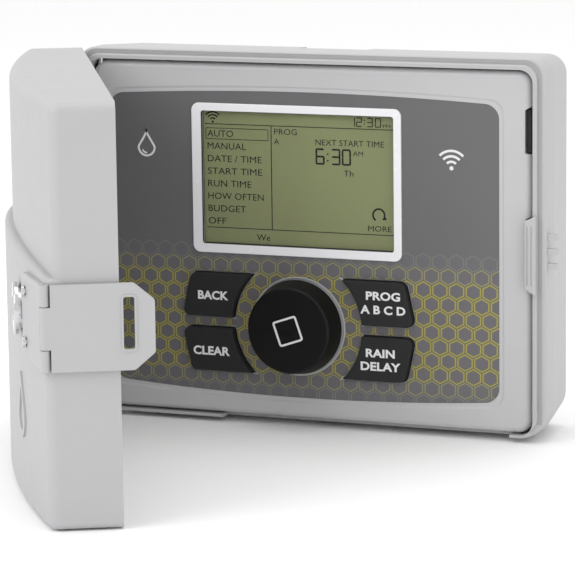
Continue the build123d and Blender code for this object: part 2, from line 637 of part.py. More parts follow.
with BuildPart() as dial_shaft:
    cylinder_y(DIAL_X, DIAL_Z, 3.0, FACE - 11, FACE + 5.8)
    box_between(
        DIAL_X - 4, DIAL_X + 4, FACE - 12, FACE - 4.8, DIAL_Z + 1.7, DIAL_Z + 4, mode=Mode.SUBTRACT
    )
save(dial_shaft.part, "dial_shaft")

with BuildPart() as dial_knob:
    with BuildSketch(Plane.XY):
        with BuildLine():
            Line((0, DIAL_HEIGHT), (DIAL_R - 1.9, DIAL_HEIGHT - 0.3))
            ThreePointArc(
                (DIAL_R - 1.9, DIAL_HEIGHT - 0.3),
                (DIAL_R - 0.4, DIAL_HEIGHT - 0.8),
                (DIAL_R + 0.1, DIAL_HEIGHT - 2.1),
            )
            Line((DIAL_R + 0.1, DIAL_HEIGHT - 2.1), (DIAL_BASE_R - 0.4, 3.6))
            ThreePointArc(
                (DIAL_BASE_R - 0.4, 3.6), (DIAL_BASE_R - 0.1, 2.4), (DIAL_BASE_R, 1.5)
            )
            Line((DIAL_BASE_R, 1.5), (DIAL_BASE_R - 2.2, 1.5))
            Line((DIAL_BASE_R - 2.2, 1.5), (DIAL_R - 2.2, 11.4))
            Line((DIAL_R - 2.2, 11.4), (5.6, 11.4))
            Line((5.6, 11.4), (5.6, 4.6))
            Line((5.6, 4.6), (3.02, 4.6))
            Line((3.02, 4.6), (3.02, 11.2))
            Line((3.02, 11.2), (0, 11.2))
            Line((0, 11.2), (0, DIAL_HEIGHT))
        make_face()
    revolve(axis=Axis.Y)
dial_knob.part = dial_knob.part.rotate(Axis.X, 180)
dial_knob.part = dial_knob.part.translate((DIAL_X, FACE, DIAL_Z))
save(dial_knob.part, "dial_knob")

with BuildPart() as dial_mark:
    with BuildSketch(Plane.XY) as mark_outline:
        Rectangle(13.8, 13.8)
        fillet(mark_outline.vertices(), 1.5)
        with BuildSketch(mode=Mode.SUBTRACT) as mark_inside:
            Rectangle(11.7, 11.7)
            fillet(mark_inside.vertices(), 0.6)
    extrude(amount=0.25)
dial_mark.part = dial_mark.part.rotate(Axis.Z, 19)
dial_mark.part = dial_mark.part.rotate(Axis.X, 90)
dial_mark.part = dial_mark.part.translate((DIAL_X, DIAL_FRONT - 0.05, DIAL_Z))
save(dial_mark.part, "dial_mark")

for name, (upper, left) in BUTTONS.items():
    with BuildPart() as button:
        extrude(button_face(BUTTON_FRONT, upper, left, 0), amount=BUTTON_FRONT - (FACE + 3.2))
        fillet(button.faces().sort_by(Axis.Y)[0].edges(), 0.7)
        extrude(button_face(FACE + 2.85, upper, left, 1.2), amount=-1.2)
    save(button.part, name)

# ---------------------------------------------------------------- cover


def cover_outline(z, inset, step):
    """Plan of the cover: open edge at the rear, arched face at the front."""
    half = DOOR_HALF_W - inset
    radius = ARCH_R + step - inset
    edge = ARCH_Y - math.sqrt(radius ** 2 - half ** 2)
    with BuildSketch(Plane.XY.offset(z)) as outline:
        with BuildLine():
            Line((-half, DOOR_RIM + (2 if inset else 0)), (half, DOOR_RIM + (2 if inset else 0)))
            Line((half, DOOR_RIM + (2 if inset else 0)), (half, edge))
            ThreePointArc((half, edge), (0, ARCH_Y - radius), (-half, edge))
            Line((-half, edge), (-half, DOOR_RIM + (2 if inset else 0)))
        make_face()
        fillet(outline.vertices().group_by(Axis.Y)[0], 3 if inset else 5)
    return outline.sketch


with BuildPart() as cover_step:
    extrude(cover_outline(DOOR_BOTTOM, 0, DOOR_STEP), amount=DOOR_STEP_TOP + 8 - DOOR_BOTTOM)
    # the step is highest in the middle and falls away to both sides
    with BuildSketch(front_plane(-300)):
        with BuildLine():
            ThreePointArc((-140, DOOR_STEP_TOP - 5), (0, DOOR_STEP_TOP + 2), (140, DOOR_STEP_TOP - 5))
            Line((140, DOOR_STEP_TOP - 5), (140, DOOR_STEP_TOP + 40))
            Line((140, DOOR_STEP_TOP + 40), (-140, DOOR_STEP_TOP + 40))
            Line((-140, DOOR_STEP_TOP + 40), (-140, DOOR_STEP_TOP - 5))
        make_face()
    extrude(amount=-300, mode=Mode.SUBTRACT)
    fillet(cover_step.faces().sort_by(Axis.Z)[-1].edges().sort_by(Axis.Y)[0], 2.4)

with BuildPart() as door_shell:
    extrude(cover_outline(DOOR_BOTTOM, 0, 0), amount=DOOR_TOP - DOOR_BOTTOM)
    top_edges = door_shell.faces().sort_by(Axis.Z)[-1].edges()
    fillet(top_edges.filter_by(lambda edge: edge.center().Y < DOOR_RIM - 0.5), 4.8)
    add(cover_step.part)
    front_bottom = door_shell.faces().sort_by(Axis.Z)[0].edges().sort_by(Axis.Y)[:3]
    fillet(front_bottom, 3)
    floor = DOOR_BOTTOM + DOOR_WALL
    hollow = cover_outline(floor, DOOR_WALL, 0)
    extrude(hollow, amount=DOOR_TOP - DOOR_WALL - floor, mode=Mode.SUBTRACT)
    hollow = cover_outline(floor, DOOR_WALL, DOOR_STEP)
    extrude(hollow, amount=DOOR_STEP_TOP - 10 - DOOR_BOTTOM, mode=Mode.SUBTRACT)
    # hinge: clear the housing knuckles, keep one knuckle between each pair
    for middle in HINGE_MIDDLES:
        for z0, z1 in ((middle - 15, middle - 5.1), (middle + 5.1, middle + 15.5)):
            box_between(-140, -125, HINGE_Y - 3.9, DOOR_RIM + 3, z0, z1, mode=Mode.SUBTRACT)
        cylinder_z(HINGE_X, HINGE_Y, KNUCKLE_R, middle - 5.1, middle + 5.1)
        cylinder_z(HINGE_X, HINGE_Y, PIN_R + 0.06, middle - 6, middle + 6, mode=Mode.SUBTRACT)
    # hole of the lock, and two for the rivets of the hasp
    cylinder_y(LOCK_X, LOCK_Z, 9.55, -120, -60, mode=Mode.SUBTRACT)
    for z in (HASP_Z - 12, HASP_Z + 12):
        cylinder_y(99, z, 1.3, -120, -60, mode=Mode.SUBTRACT)
door_shell.part = open_cover(door_shell.part)
save(door_shell.part, "door_shell")

LOCK_FACE = ARCH_Y - math.sqrt((ARCH_R + DOOR_STEP) ** 2 - LOCK_X ** 2)

with BuildPart() as lock_body:
    cylinder_y(LOCK_X, LOCK_Z, 9.5, LOCK_FACE - 2, FACE - 4.4)
    cylinder_y(LOCK_X, LOCK_Z, 12.4, LOCK_FACE - 4, LOCK_FACE - 1.6)
    fillet(lock_body.faces().sort_by(Axis.Y)[0].edges(), 0.9)
    cylinder_y(LOCK_X, LOCK_Z, 6.06, -120, -50, mode=Mode.SUBTRACT)
lock_body.part = open_cover(lock_body.part)
save(lock_body.part, "lock_body")

with BuildPart() as lock_nut:
    with BuildSketch(front_plane(LOCK_FACE + 4.4)):
        with Locations((LOCK_X, LOCK_Z)):
            RegularPolygon(12.5, 6, major_radius=False)
            Circle(9.52, mode=Mode.SUBTRACT)
    extrude(amount=-5)
lock_nut.part = open_cover(lock_nut.part)
save(lock_nut.part, "lock_nut")

with BuildPart() as lock_plug:
    cylinder_y(LOCK_X, LOCK_Z, 6, LOCK_FACE - 3.6, FACE - 2.4)
    cylinder_y(LOCK_X, LOCK_Z, 2.98, FACE - 2.5, FACE - 0.75)
    # keyway
    box_between(
        LOCK_X - 0.8, LOCK_X + 0.8, LOCK_FACE - 5, LOCK_FACE + 14, LOCK_Z - 3.6, LOCK_Z + 3.6,
        mode=Mode.SUBTRACT,
    )
lock_plug.part = open_cover(lock_plug.part)
save(lock_plug.part, "lock_plug")

with BuildPart() as lock_cam:
    with BuildSketch(front_plane(FACE - 2.35)):
        with BuildLine():
            Line((LOCK_X - 5, LOCK_Z), (LOCK_X - 3.6, LOCK_Z + 44))
            ThreePointArc(
                (LOCK_X - 3.6, LOCK_Z + 44), (LOCK_X, LOCK_Z + 47.4), (LOCK_X + 3.6, LOCK_Z + 44)
            )
            Line((LOCK_X + 3.6, LOCK_Z + 44), (LOCK_X + 5, LOCK_Z))
            ThreePointArc((LOCK_X + 5, LOCK_Z), (LOCK_X, LOCK_Z - 5), (LOCK_X - 5, LOCK_Z))
        make_face()
        with Locations((LOCK_X, LOCK_Z)):
            Circle(3.0, mode=Mode.SUBTRACT)
    extrude(amount=-1.6)
lock_cam.part = open_cover(lock_cam.part)
save(lock_cam.part, "lock_cam")

with BuildPart() as cam_screw:
    cylinder_y(LOCK_X, LOCK_Z, 4, FACE - 0.7, FACE + 0.15)
    box_between(
        LOCK_X - 2.4, LOCK_X + 2.4, FACE - 0.2, FACE + 1, LOCK_Z - 0.4, LOCK_Z + 0.4,
        mode=Mode.SUBTRACT,
    )
cam_screw.part = open_cover(cam_screw.part)
save(cam_screw.part, "cam_screw")

# hasp: a bracket on the cover's face, hinged to a slotted leg beside the free edge
HASP_Z0 = HASP_Z - HASP_HALF_H
HASP_Z1 = HASP_Z + HASP_HALF_H
LEG_X = FOLD_X + 0.1     # inner face of the leg; its outer face is tangent to the knuckles


def face_band(x0, x1, z0, z1, lift, thick):
    """Curved plate that lies on the raised part of the cover's face."""
    radius = ARCH_R + DOOR_STEP + lift
    with BuildSketch(Plane.XY.offset(z0)) as band:
        with Locations((0, ARCH_Y)):
            Circle(radius + thick)
            Circle(radius, mode=Mode.SUBTRACT)
        with Locations(((x0 + x1) / 2, ARCH_Y - radius)):
            Rectangle(x1 - x0, 60, mode=Mode.INTERSECT)
    extrude(band.sketch, amount=z1 - z0)


HASP_RIVETS = [(99, HASP_Z - 12), (99, HASP_Z + 12)]

with BuildPart() as hasp_bracket:
    face_band(90, 131, HASP_Z0, HASP_Z1, 0.05, 2.2)
    chamfer(hasp_bracket.edges().filter_by(Axis.Y, tolerance=12).group_by(Axis.X)[0], 4)
    for z0, z1 in ((HASP_Z0, HASP_Z - 10.2), (HASP_Z + 10.2, HASP_Z1)):
        cylinder_z(FOLD_X, FOLD_Y, FOLD_R, z0, z1)
    box_between(126, FOLD_X, FOLD_Y - FOLD_R, FOLD_Y - 0.9, HASP_Z0, HASP_Z1)
    box_between(
        FOLD_X - 2.6, FOLD_X + 4, FOLD_Y - 3, FOLD_Y + 3, HASP_Z - 10.2, HASP_Z + 10.2,
        mode=Mode.SUBTRACT,
    )
    cylinder_z(FOLD_X, FOLD_Y, 1.01, HASP_Z0 - 1, HASP_Z1 + 1, mode=Mode.SUBTRACT)
    for x, z in HASP_RIVETS:
        cylinder_y(x, z, 1.3, -120, -60, mode=Mode.SUBTRACT)
hasp_bracket.part = open_cover(hasp_bracket.part)
save(hasp_bracket.part, "hasp_bracket")

RIVET_SEAT = ARCH_Y - math.sqrt((ARCH_R + DOOR_STEP + 2.25) ** 2 - 99 ** 2) - 0.5

with BuildPart() as hasp_rivets:
    for x, z in HASP_RIVETS:
        cylinder_y(x, z, 2.6, RIVET_SEAT - 1.2, RIVET_SEAT)
        cylinder_y(x, z, 1.25, RIVET_SEAT - 0.5, RIVET_SEAT + 7)
hasp_rivets.part = open_cover(hasp_rivets.part)
save(hasp_rivets.part, "hasp_rivets")

with BuildPart() as hasp_pin:
    cylinder_z(FOLD_X, FOLD_Y, 1.0, HASP_Z0 + 0.3, HASP_Z1 - 0.3)
hasp_pin.part = open_cover(hasp_pin.part)
save(hasp_pin.part, "hasp_pin")

with BuildPart() as hasp_leg:
    with BuildSketch(Plane(origin=(LEG_X, 0, 0), x_dir=(0, 1, 0), z_dir=(1, 0, 0))):
        with BuildLine():
            Polyline(
                (FOLD_Y + 2.7, HASP_Z0),
                (FACE + 4.5, HASP_Z0),
                (FACE + 14, HASP_Z0 + 8),
                (FACE + 14, HASP_Z1 - 8),
                (FACE + 4.5, HASP_Z1),
                (FOLD_Y + 2.7, HASP_Z1),
                close=True,
            )
        make_face()
    extrude(amount=2.1)
    fillet(hasp_leg.edges().filter_by(Axis.X).sort_by(Axis.Y)[2:], 2.4)
    box_between(LEG_X, LEG_X + 2.1, FOLD_Y, FOLD_Y + 3, HASP_Z - 9.8, HASP_Z + 9.8)
    cylinder_z(FOLD_X, FOLD_Y, FOLD_R, HASP_Z - 9.8, HASP_Z + 9.8)
    cylinder_z(FOLD_X, FOLD_Y, 1.06, HASP_Z0, HASP_Z1, mode=Mode.SUBTRACT)
    # raised border round the slot, then the slot
    with BuildSketch(Plane(origin=(LEG_X + 1, 0, 0), x_dir=(0, 1, 0), z_dir=(1, 0, 0))) as border:
        with Locations((FACE + 2.1, SLOT_Z)):
            RectangleRounded(5.2 + 1.9, 24.4 + 1.9, 2.15)
    extrude(border.sketch, amount=1.6)
    with BuildSketch(Plane(origin=(LEG_X - 1, 0, 0), x_dir=(0, 1, 0), z_dir=(1, 0, 0))) as slot:
        with Locations((FACE + 2.1, SLOT_Z)):
            RectangleRounded(5.2, 24.4, 1.2)
    extrude(slot.sketch, amount=5, mode=Mode.SUBTRACT)
hasp_leg.part = open_cover(hasp_leg.part)
save(hasp_leg.part, "hasp_leg")

# plain raised water drop low on the cover
with BuildPart() as cover_emblem:
    face_band(56, 84, -72, -34, 0.02, 0.9)
    with BuildSketch(front_plane(-150)):
        with BuildLine():
            Line((70, -36), (61.2, -54))
            ThreePointArc((61.2, -54), (70, -68), (78.8, -54))
            Line((78.8, -54), (70, -36))
        make_face()
        with BuildLine():
            Line((70, -43), (64.4, -55))
            ThreePointArc((64.4, -55), (70, -64.5), (75.6, -55))
            Line((75.6, -55), (70, -43))
        make_face(mode=Mode.SUBTRACT)
    extrude(amount=-100, mode=Mode.INTERSECT)
cover_emblem.part = open_cover(cover_emblem.part)
save(cover_emblem.part, "cover_emblem")
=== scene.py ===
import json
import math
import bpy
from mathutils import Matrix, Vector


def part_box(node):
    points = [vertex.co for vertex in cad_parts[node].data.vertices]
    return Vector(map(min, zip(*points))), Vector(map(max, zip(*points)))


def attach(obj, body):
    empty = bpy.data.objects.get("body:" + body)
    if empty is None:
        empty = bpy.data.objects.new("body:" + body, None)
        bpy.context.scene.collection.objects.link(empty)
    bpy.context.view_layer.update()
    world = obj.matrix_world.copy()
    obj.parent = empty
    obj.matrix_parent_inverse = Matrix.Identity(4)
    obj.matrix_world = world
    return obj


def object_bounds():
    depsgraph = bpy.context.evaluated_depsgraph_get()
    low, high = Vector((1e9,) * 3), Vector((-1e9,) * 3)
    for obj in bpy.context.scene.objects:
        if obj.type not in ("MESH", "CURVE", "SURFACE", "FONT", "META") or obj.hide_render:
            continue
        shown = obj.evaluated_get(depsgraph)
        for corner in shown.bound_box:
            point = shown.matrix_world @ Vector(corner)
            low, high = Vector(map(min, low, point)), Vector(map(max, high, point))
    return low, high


bl_info = {
    "name": "Irrigation Controller",
    "version": (1, 0, 0),
    "blender": (4, 5, 0),
    "location": "3D View > Sidebar > Controller",
    "description": "Finishes, printing, screen image and studio for a wall-mounted irrigation controller",
    "category": "Object",
}

import bmesh
import bpy
from mathutils import Matrix, Vector

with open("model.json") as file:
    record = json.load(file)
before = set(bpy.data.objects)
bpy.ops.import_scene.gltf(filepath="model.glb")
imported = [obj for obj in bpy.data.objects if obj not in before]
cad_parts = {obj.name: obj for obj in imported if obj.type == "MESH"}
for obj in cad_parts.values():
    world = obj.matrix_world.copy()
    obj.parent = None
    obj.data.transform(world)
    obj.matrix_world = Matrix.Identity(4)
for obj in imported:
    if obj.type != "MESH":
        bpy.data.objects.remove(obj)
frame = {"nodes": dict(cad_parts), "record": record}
cad_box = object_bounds()

MM = 0.001
LABEL_LOW, LABEL_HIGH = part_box("face_label")
GLASS_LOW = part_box("lcd_glass")[0]
WINDOW_LOW, WINDOW_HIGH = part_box("lcd_window")
TERMINALS_LOW, TERMINALS_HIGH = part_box("field_terminals")
BEZEL_LOW, BEZEL_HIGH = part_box("panel_bezel")
BOARD_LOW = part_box("terminal_board")[0]


# ---------------------------------------------------------------- sizes and colours


def colour_property(name, description, default):
    return bpy.props.FloatVectorProperty(
        name=name,
        description=description,
        default=default,
        size=3,
        min=0.0,
        max=1.0,
        subtype="COLOR",
    )


def length_property(name, description, default):
    return bpy.props.FloatProperty(
        name=name,
        description=description,
        default=default,
        min=0.0,
        unit="LENGTH",
        subtype="DISTANCE",
    )


class ControllerColours(bpy.types.PropertyGroup):
    housing: colour_property("Housing", "Moulded case behind the panel", (0.47, 0.47, 0.477))
    cover: colour_property("Cover", "Swinging cover and its hasp", (0.435, 0.435, 0.442))
    panel: colour_property("Panel", "Bezel round the printed label", (0.52, 0.52, 0.528))
    label: colour_property("Label", "Ground colour of the printed label", (0.135, 0.135, 0.138))
    cell: colour_property("Cells", "Inside of the printed honeycomb cells", (0.135, 0.128, 0.145))
    ground: colour_property("Between cells", "Ground between the honeycomb cells", (0.155, 0.152, 0.095))
    line: colour_property("Cell lines", "Thin lines of the honeycomb", (0.44, 0.38, 0.07))
    pale_line: colour_property("Pale cell lines", "Lines of the fading rows", (0.25, 0.25, 0.21))
    lcd: colour_property("Screen", "Liquid crystal display at rest", (0.215, 0.235, 0.105))
    ink: colour_property("Segments", "Dark segments of the display", (0.0015, 0.003, 0.001))
    key: colour_property("Keys", "Rubber keys and dial", (0.0035, 0.0035, 0.0038))
    mark: colour_property("Marks", "White pad print", (0.80, 0.80, 0.80))


class ControllerSizes(bpy.types.PropertyGroup):
    cell_pitch: length_property("Cell pitch", "Distance between honeycomb cells in a row", 9.05 * MM)
    row_pitch: length_property("Row pitch", "Distance between honeycomb rows", 7.42 * MM)
    print_depth: length_property("Print depth", "Thickness of the white pad print", 0.06 * MM)
    ink_depth: length_property("Segment depth", "Thickness of the display segments", 0.06 * MM)
    rule: length_property("Rule", "Thickness of the lines on the display", 0.42 * MM)


class StudioSettings(bpy.types.PropertyGroup):
    distance: length_property("Distance", "From the camera to the target", 1.70541)
    azimuth: bpy.props.FloatProperty(
        name="Azimuth",
        description="Camera turned to the right of straight on",
        default=math.radians(21.84),
        subtype="ANGLE",
    )
    elevation: bpy.props.FloatProperty(
        name="Elevation",
        description="Camera raised above level",
        default=math.radians(9.78),
        subtype="ANGLE",
    )
    roll: bpy.props.FloatProperty(
        name="Roll",
        description="Camera turned about its own axis",
        default=math.radians(-0.71),
        subtype="ANGLE",
    )
    lens: bpy.props.FloatProperty(
        name="Lens",
        description="Focal length on a 36 mm sensor",
        default=203.63,
        unit="CAMERA",
    )
    target: bpy.props.FloatVectorProperty(
        name="Target",
        description="Point that the camera looks at",
        default=(-12.14 * MM, -50 * MM, -25.97 * MM),
        size=3,
        subtype="TRANSLATION",
        unit="LENGTH",
    )
    floor_colour: colour_property("Floor", "Studio floor and surroundings", (0.96, 0.96, 0.96))


# ---------------------------------------------------------------- node helpers


class Graph:
    """Short calls that add nodes to one tree and join them."""

    def __init__(self, tree):
        self.tree = tree

    def feed(self, socket, value):
        if isinstance(value, bpy.types.NodeSocket):
            self.tree.links.new(value, socket)
        else:
            socket.default_value = value

    def add(self, kind, settings=None, **inputs):
        node = self.tree.nodes.new(kind)
        for name, value in (settings or {}).items():
            setattr(node, name, value)
        for name, value in inputs.items():
            self.feed(node.inputs[name.replace("_", " ")], value)
        return node

    def math(self, operation, *values):
        node = self.tree.nodes.new("ShaderNodeMath")
        node.operation = operation
        for socket, value in zip(node.inputs, values):
            self.feed(socket, value)
        return node.outputs[0]

    def mix(self, factor, first, second, blend="MIX"):
        node = self.tree.nodes.new("ShaderNodeMix")
        node.data_type = "RGBA"
        node.blend_type = blend
        self.feed(node.inputs[0], factor)
        self.feed(node.inputs[6], first)
        self.feed(node.inputs[7], second)
        return node.outputs[2]

    def ramp(self, value, low, high, out_low=0.0, out_high=1.0):
        node = self.tree.nodes.new("ShaderNodeMapRange")
        for socket, number in zip(node.inputs, (value, low, high, out_low, out_high)):
            self.feed(socket, number)
        return node.outputs[0]

    def place(self):
        return self.tree.nodes.new("ShaderNodeTexCoord").outputs["Object"]

    def noise(self, vector, scale, detail=3.0, roughness=0.5):
        node = self.add(
            "ShaderNodeTexNoise", Vector=vector, Scale=scale, Detail=detail, Roughness=roughness
        )
        return node.outputs["Fac"]


def rgba(colour):
    return (colour[0], colour[1], colour[2], 1.0)


def new_group(name, inputs, outputs):
    """Empty shader group with named sockets; returns the group, its graph and its two ends."""
    group = bpy.data.node_groups.new(name, "ShaderNodeTree")
    for socket_name, kind, default in inputs:
        socket = group.interface.new_socket(socket_name, in_out="INPUT", socket_type=kind)
        socket.default_value = default
    for socket_name, kind in outputs:
        group.interface.new_socket(socket_name, in_out="OUTPUT", socket_type=kind)
    graph = Graph(group)
    start = group.nodes.new("NodeGroupInput")
    end = group.nodes.new("NodeGroupOutput")
    return group, graph, start.outputs, end.inputs


def moulded_group():
    """Spark-eroded plastic: fine grain, slow tone changes, faint scuffs."""
    group, graph, given, result = new_group(
        "Moulded Surface",
        [
            ("Colour", "NodeSocketColor", (0.5, 0.5, 0.5, 1.0)),
            ("Grain Scale", "NodeSocketFloat", 1900.0),
            ("Tone", "NodeSocketFloat", 0.05),
            ("Roughness", "NodeSocketFloat", 0.5),
            ("Scuffs", "NodeSocketFloat", 0.3),
        ],
        [
            ("Colour", "NodeSocketColor"),
            ("Roughness", "NodeSocketFloat"),
            ("Height", "NodeSocketFloat"),
        ],
    )
    place = graph.place()
    slow = graph.noise(place, 11.0, 4.0)
    middle = graph.noise(place, 95.0, 5.0, 0.6)
    fine = graph.noise(place, given["Grain Scale"], 2.0)
    pit_scale = graph.math("MULTIPLY", given["Grain Scale"], 0.55)
    pits = graph.add("ShaderNodeTexVoronoi", Vector=place, Scale=pit_scale)
    scuff_place = graph.add("ShaderNodeMapping", Vector=place)
    scuff_place.inputs["Rotation"].default_value = (0.5, 0.3, 0.9)
    scuff_place.inputs["Scale"].default_value = (18.0, 240.0, 240.0)
    scuffs = graph.ramp(graph.noise(scuff_place.outputs[0], 3.0, 4.0, 0.7), 0.66, 0.74)
    scuffs = graph.math("MULTIPLY", scuffs, given["Scuffs"])
    sway = graph.math("ADD", graph.math("SUBTRACT", slow, 0.5), graph.math("SUBTRACT", middle, 0.5))
    lift = graph.math("ADD", 1.0, graph.math("MULTIPLY", sway, given["Tone"]))
    value = graph.add("ShaderNodeHueSaturation", Color=given["Colour"], Value=lift)
    graph.feed(result["Colour"], value.outputs[0])
    rough = graph.math("ADD", given["Roughness"], graph.ramp(middle, 0.3, 0.7, -0.05, 0.05))
    graph.feed(result["Roughness"], graph.math("SUBTRACT", rough, graph.math("MULTIPLY", scuffs, 0.12)))
    pit_height = graph.math("MULTIPLY", pits.outputs["Distance"], 0.3)
    height = graph.math("ADD", graph.math("MULTIPLY", fine, 0.7), pit_height)
    graph.feed(result["Height"], graph.math("SUBTRACT", height, graph.math("MULTIPLY", scuffs, 0.5)))
    return group


def honeycomb_group():
    """Pointed-top honeycomb on the X-Z plane: how far a point is from its cell's middle, and its row."""
    group, graph, given, result = new_group(
        "Honeycomb",
        [
            ("Pitch", "NodeSocketFloat", 0.009),
            ("Row Pitch", "NodeSocketFloat", 0.0075),
            ("Middle X", "NodeSocketFloat", 0.0),
            ("Middle Z", "NodeSocketFloat", 0.0),
        ],
        [("Distance", "NodeSocketFloat"), ("Row", "NodeSocketFloat")],
    )
    row_unit = math.sqrt(3) / 2
    place = graph.add("ShaderNodeSeparateXYZ", Vector=graph.place())
    from_x = graph.math("SUBTRACT", place.outputs["X"], given["Middle X"])
    from_z = graph.math("SUBTRACT", place.outputs["Z"], given["Middle Z"])
    u = graph.math("DIVIDE", from_x, given["Pitch"])
    rows = graph.math("DIVIDE", from_z, given["Row Pitch"])
    v = graph.math("MULTIPLY", rows, row_unit)
    near_u = graph.math("WRAP", u, 0.5, -0.5)
    near_v = graph.math("WRAP", v, row_unit, -row_unit)
    far_u = graph.math("WRAP", graph.math("ADD", u, 0.5), 0.5, -0.5)
    far_v = graph.math("WRAP", graph.math("ADD", v, row_unit), row_unit, -row_unit)

    def squared(a, b):
        return graph.math("ADD", graph.math("MULTIPLY", a, a), graph.math("MULTIPLY", b, b))

    pick = graph.math("LESS_THAN", squared(far_u, far_v), squared(near_u, near_v))

    def picked(first, second):
        return graph.math("MULTIPLY_ADD", pick, graph.math("SUBTRACT", second, first), first)

    cell_u = graph.math("ABSOLUTE", picked(near_u, far_u))
    cell_v = picked(near_v, far_v)
    rise = graph.math("MULTIPLY", graph.math("ABSOLUTE", cell_v), row_unit)
    slope = graph.math("ADD", graph.math("MULTIPLY", cell_u, 0.5), rise)
    graph.feed(result["Distance"], graph.math("MAXIMUM", cell_u, slope))
    graph.feed(result["Row"], graph.math("DIVIDE", graph.math("SUBTRACT", v, cell_v), row_unit))
    return group


def brushed_group():
    """Metal drawn or ground along X: fine lines in roughness and height."""
    group, graph, given, result = new_group(
        "Brushed Metal",
        [("Roughness", "NodeSocketFloat", 0.3), ("Lines", "NodeSocketFloat", 900.0)],
        [("Tone", "NodeSocketFloat"), ("Roughness", "NodeSocketFloat"), ("Height", "NodeSocketFloat")],
    )
    place = graph.add("ShaderNodeMapping", Vector=graph.place())
    place.inputs["Scale"].default_value = (0.06, 1.0, 1.0)
    lines = graph.noise(place.outputs[0], given["Lines"], 3.0)
    stains = graph.noise(graph.place(), 140.0, 4.0)
    graph.feed(result["Tone"], graph.ramp(stains, 0.3, 0.7, 0.86, 1.0))
    uneven = graph.ramp(lines, 0.3, 0.7, -0.08, 0.08)
    graph.feed(result["Roughness"], graph.math("ADD", given["Roughness"], uneven))
    graph.feed(result["Height"], lines)
    return group


def new_material(name):
    """Material with an empty graph, its Principled shader joined to the output."""
    material = bpy.data.materials.new(name)
    material.use_nodes = True
    material.node_tree.nodes.clear()
    graph = Graph(material.node_tree)
    shader = graph.add("ShaderNodeBsdfPrincipled")
    output = graph.add("ShaderNodeOutputMaterial")
    graph.feed(output.inputs["Surface"], shader.outputs[0])
    return material, graph, shader


def bump(graph, shader, height, depth, strength=1.0):
    node = graph.add("ShaderNodeBump", Height=height, Distance=depth, Strength=strength)
    graph.feed(shader.inputs["Normal"], node.outputs[0])


def moulded(
    name, group, colour, roughness, grain=1900.0, tone=0.05, depth=0.00003, scuffs=0.3, specular=0.5
):
    """Plastic or rubber with the moulded surface."""
    material, graph, shader = new_material(name)
    surface = graph.add("ShaderNodeGroup", {"node_tree": group})
    surface.inputs["Colour"].default_value = rgba(colour)
    surface.inputs["Grain Scale"].default_value = grain
    surface.inputs["Tone"].default_value = tone
    surface.inputs["Roughness"].default_value = roughness
    surface.inputs["Scuffs"].default_value = scuffs
    graph.feed(shader.inputs["Base Color"], surface.outputs["Colour"])
    graph.feed(shader.inputs["Roughness"], surface.outputs["Roughness"])
    shader.inputs["Specular IOR Level"].default_value = specular
    bump(graph, shader, surface.outputs["Height"], depth)
    return material


def metal(name, group, colour, roughness, lines, depth=0.00001):
    """Bare or plated metal."""
    material, graph, shader = new_material(name)
    surface = graph.add("ShaderNodeGroup", {"node_tree": group})
    surface.inputs["Roughness"].default_value = roughness
    surface.inputs["Lines"].default_value = lines
    dark = rgba([c * 0.75 for c in colour])
    graph.feed(shader.inputs["Base Color"], graph.mix(surface.outputs["Tone"], dark, rgba(colour)))
    graph.feed(shader.inputs["Roughness"], surface.outputs["Roughness"])
    shader.inputs["Metallic"].default_value = 1.0
    bump(graph, shader, surface.outputs["Height"], depth)
    return material


def label_material(colours, sizes, comb, moulded_surface):
    """Printed overlay: dark ground, a honeycomb in its lower half whose rows fade at top and bottom."""
    material, graph, shader = new_material("label_print")
    cells = graph.add("ShaderNodeGroup", {"node_tree": comb})
    cells.inputs["Pitch"].default_value = sizes.cell_pitch
    cells.inputs["Row Pitch"].default_value = sizes.row_pitch
    cells.inputs["Middle X"].default_value = LABEL_HIGH.x - 4.9 * MM
    cells.inputs["Middle Z"].default_value = LABEL_LOW.z + 76.1 * MM
    distance = cells.outputs["Distance"]
    row = cells.outputs["Row"]
    line = graph.math(
        "MULTIPLY", graph.math("GREATER_THAN", distance, 0.397), graph.math("LESS_THAN", distance, 0.452)
    )
    inside = graph.math("LESS_THAN", distance, 0.335)
    patterned = graph.math("LESS_THAN", row, 0.5)
    upper = graph.ramp(row, -1.6, -0.5)
    lower = graph.ramp(row, -8.4, -9.4)
    fading = graph.math("MAXIMUM", upper, lower)
    edge_row = graph.math("MAXIMUM", graph.ramp(row, -1.4, 0.2), graph.ramp(row, -8.6, -10.4))
    faint = graph.ramp(edge_row, 0, 1, 0.95, 0.45)
    ink = graph.mix(fading, rgba(colours.line), rgba(colours.pale_line))
    surface = graph.add("ShaderNodeGroup", {"node_tree": moulded_surface})
    surface.inputs["Colour"].default_value = rgba(colours.label)
    surface.inputs["Grain Scale"].default_value = 3200.0
    surface.inputs["Tone"].default_value = 0.04
    surface.inputs["Roughness"].default_value = 0.42
    surface.inputs["Scuffs"].default_value = 0.4
    filled = graph.math("MULTIPLY", graph.math("MULTIPLY", inside, patterned), faint)
    olive = graph.math("MULTIPLY", graph.math("SUBTRACT", 1.0, fading), patterned)
    between = graph.mix(olive, surface.outputs["Colour"], rgba(colours.ground))
    ground = graph.mix(filled, between, rgba(colours.cell))
    lined = graph.math("MULTIPLY", graph.math("MULTIPLY", line, patterned), faint)
    graph.feed(shader.inputs["Base Color"], graph.mix(lined, ground, ink))
    graph.feed(shader.inputs["Roughness"], surface.outputs["Roughness"])
    height = graph.math("ADD", surface.outputs["Height"], graph.math("MULTIPLY", lined, 0.6))
    bump(graph, shader, height, 0.000012)
    return material


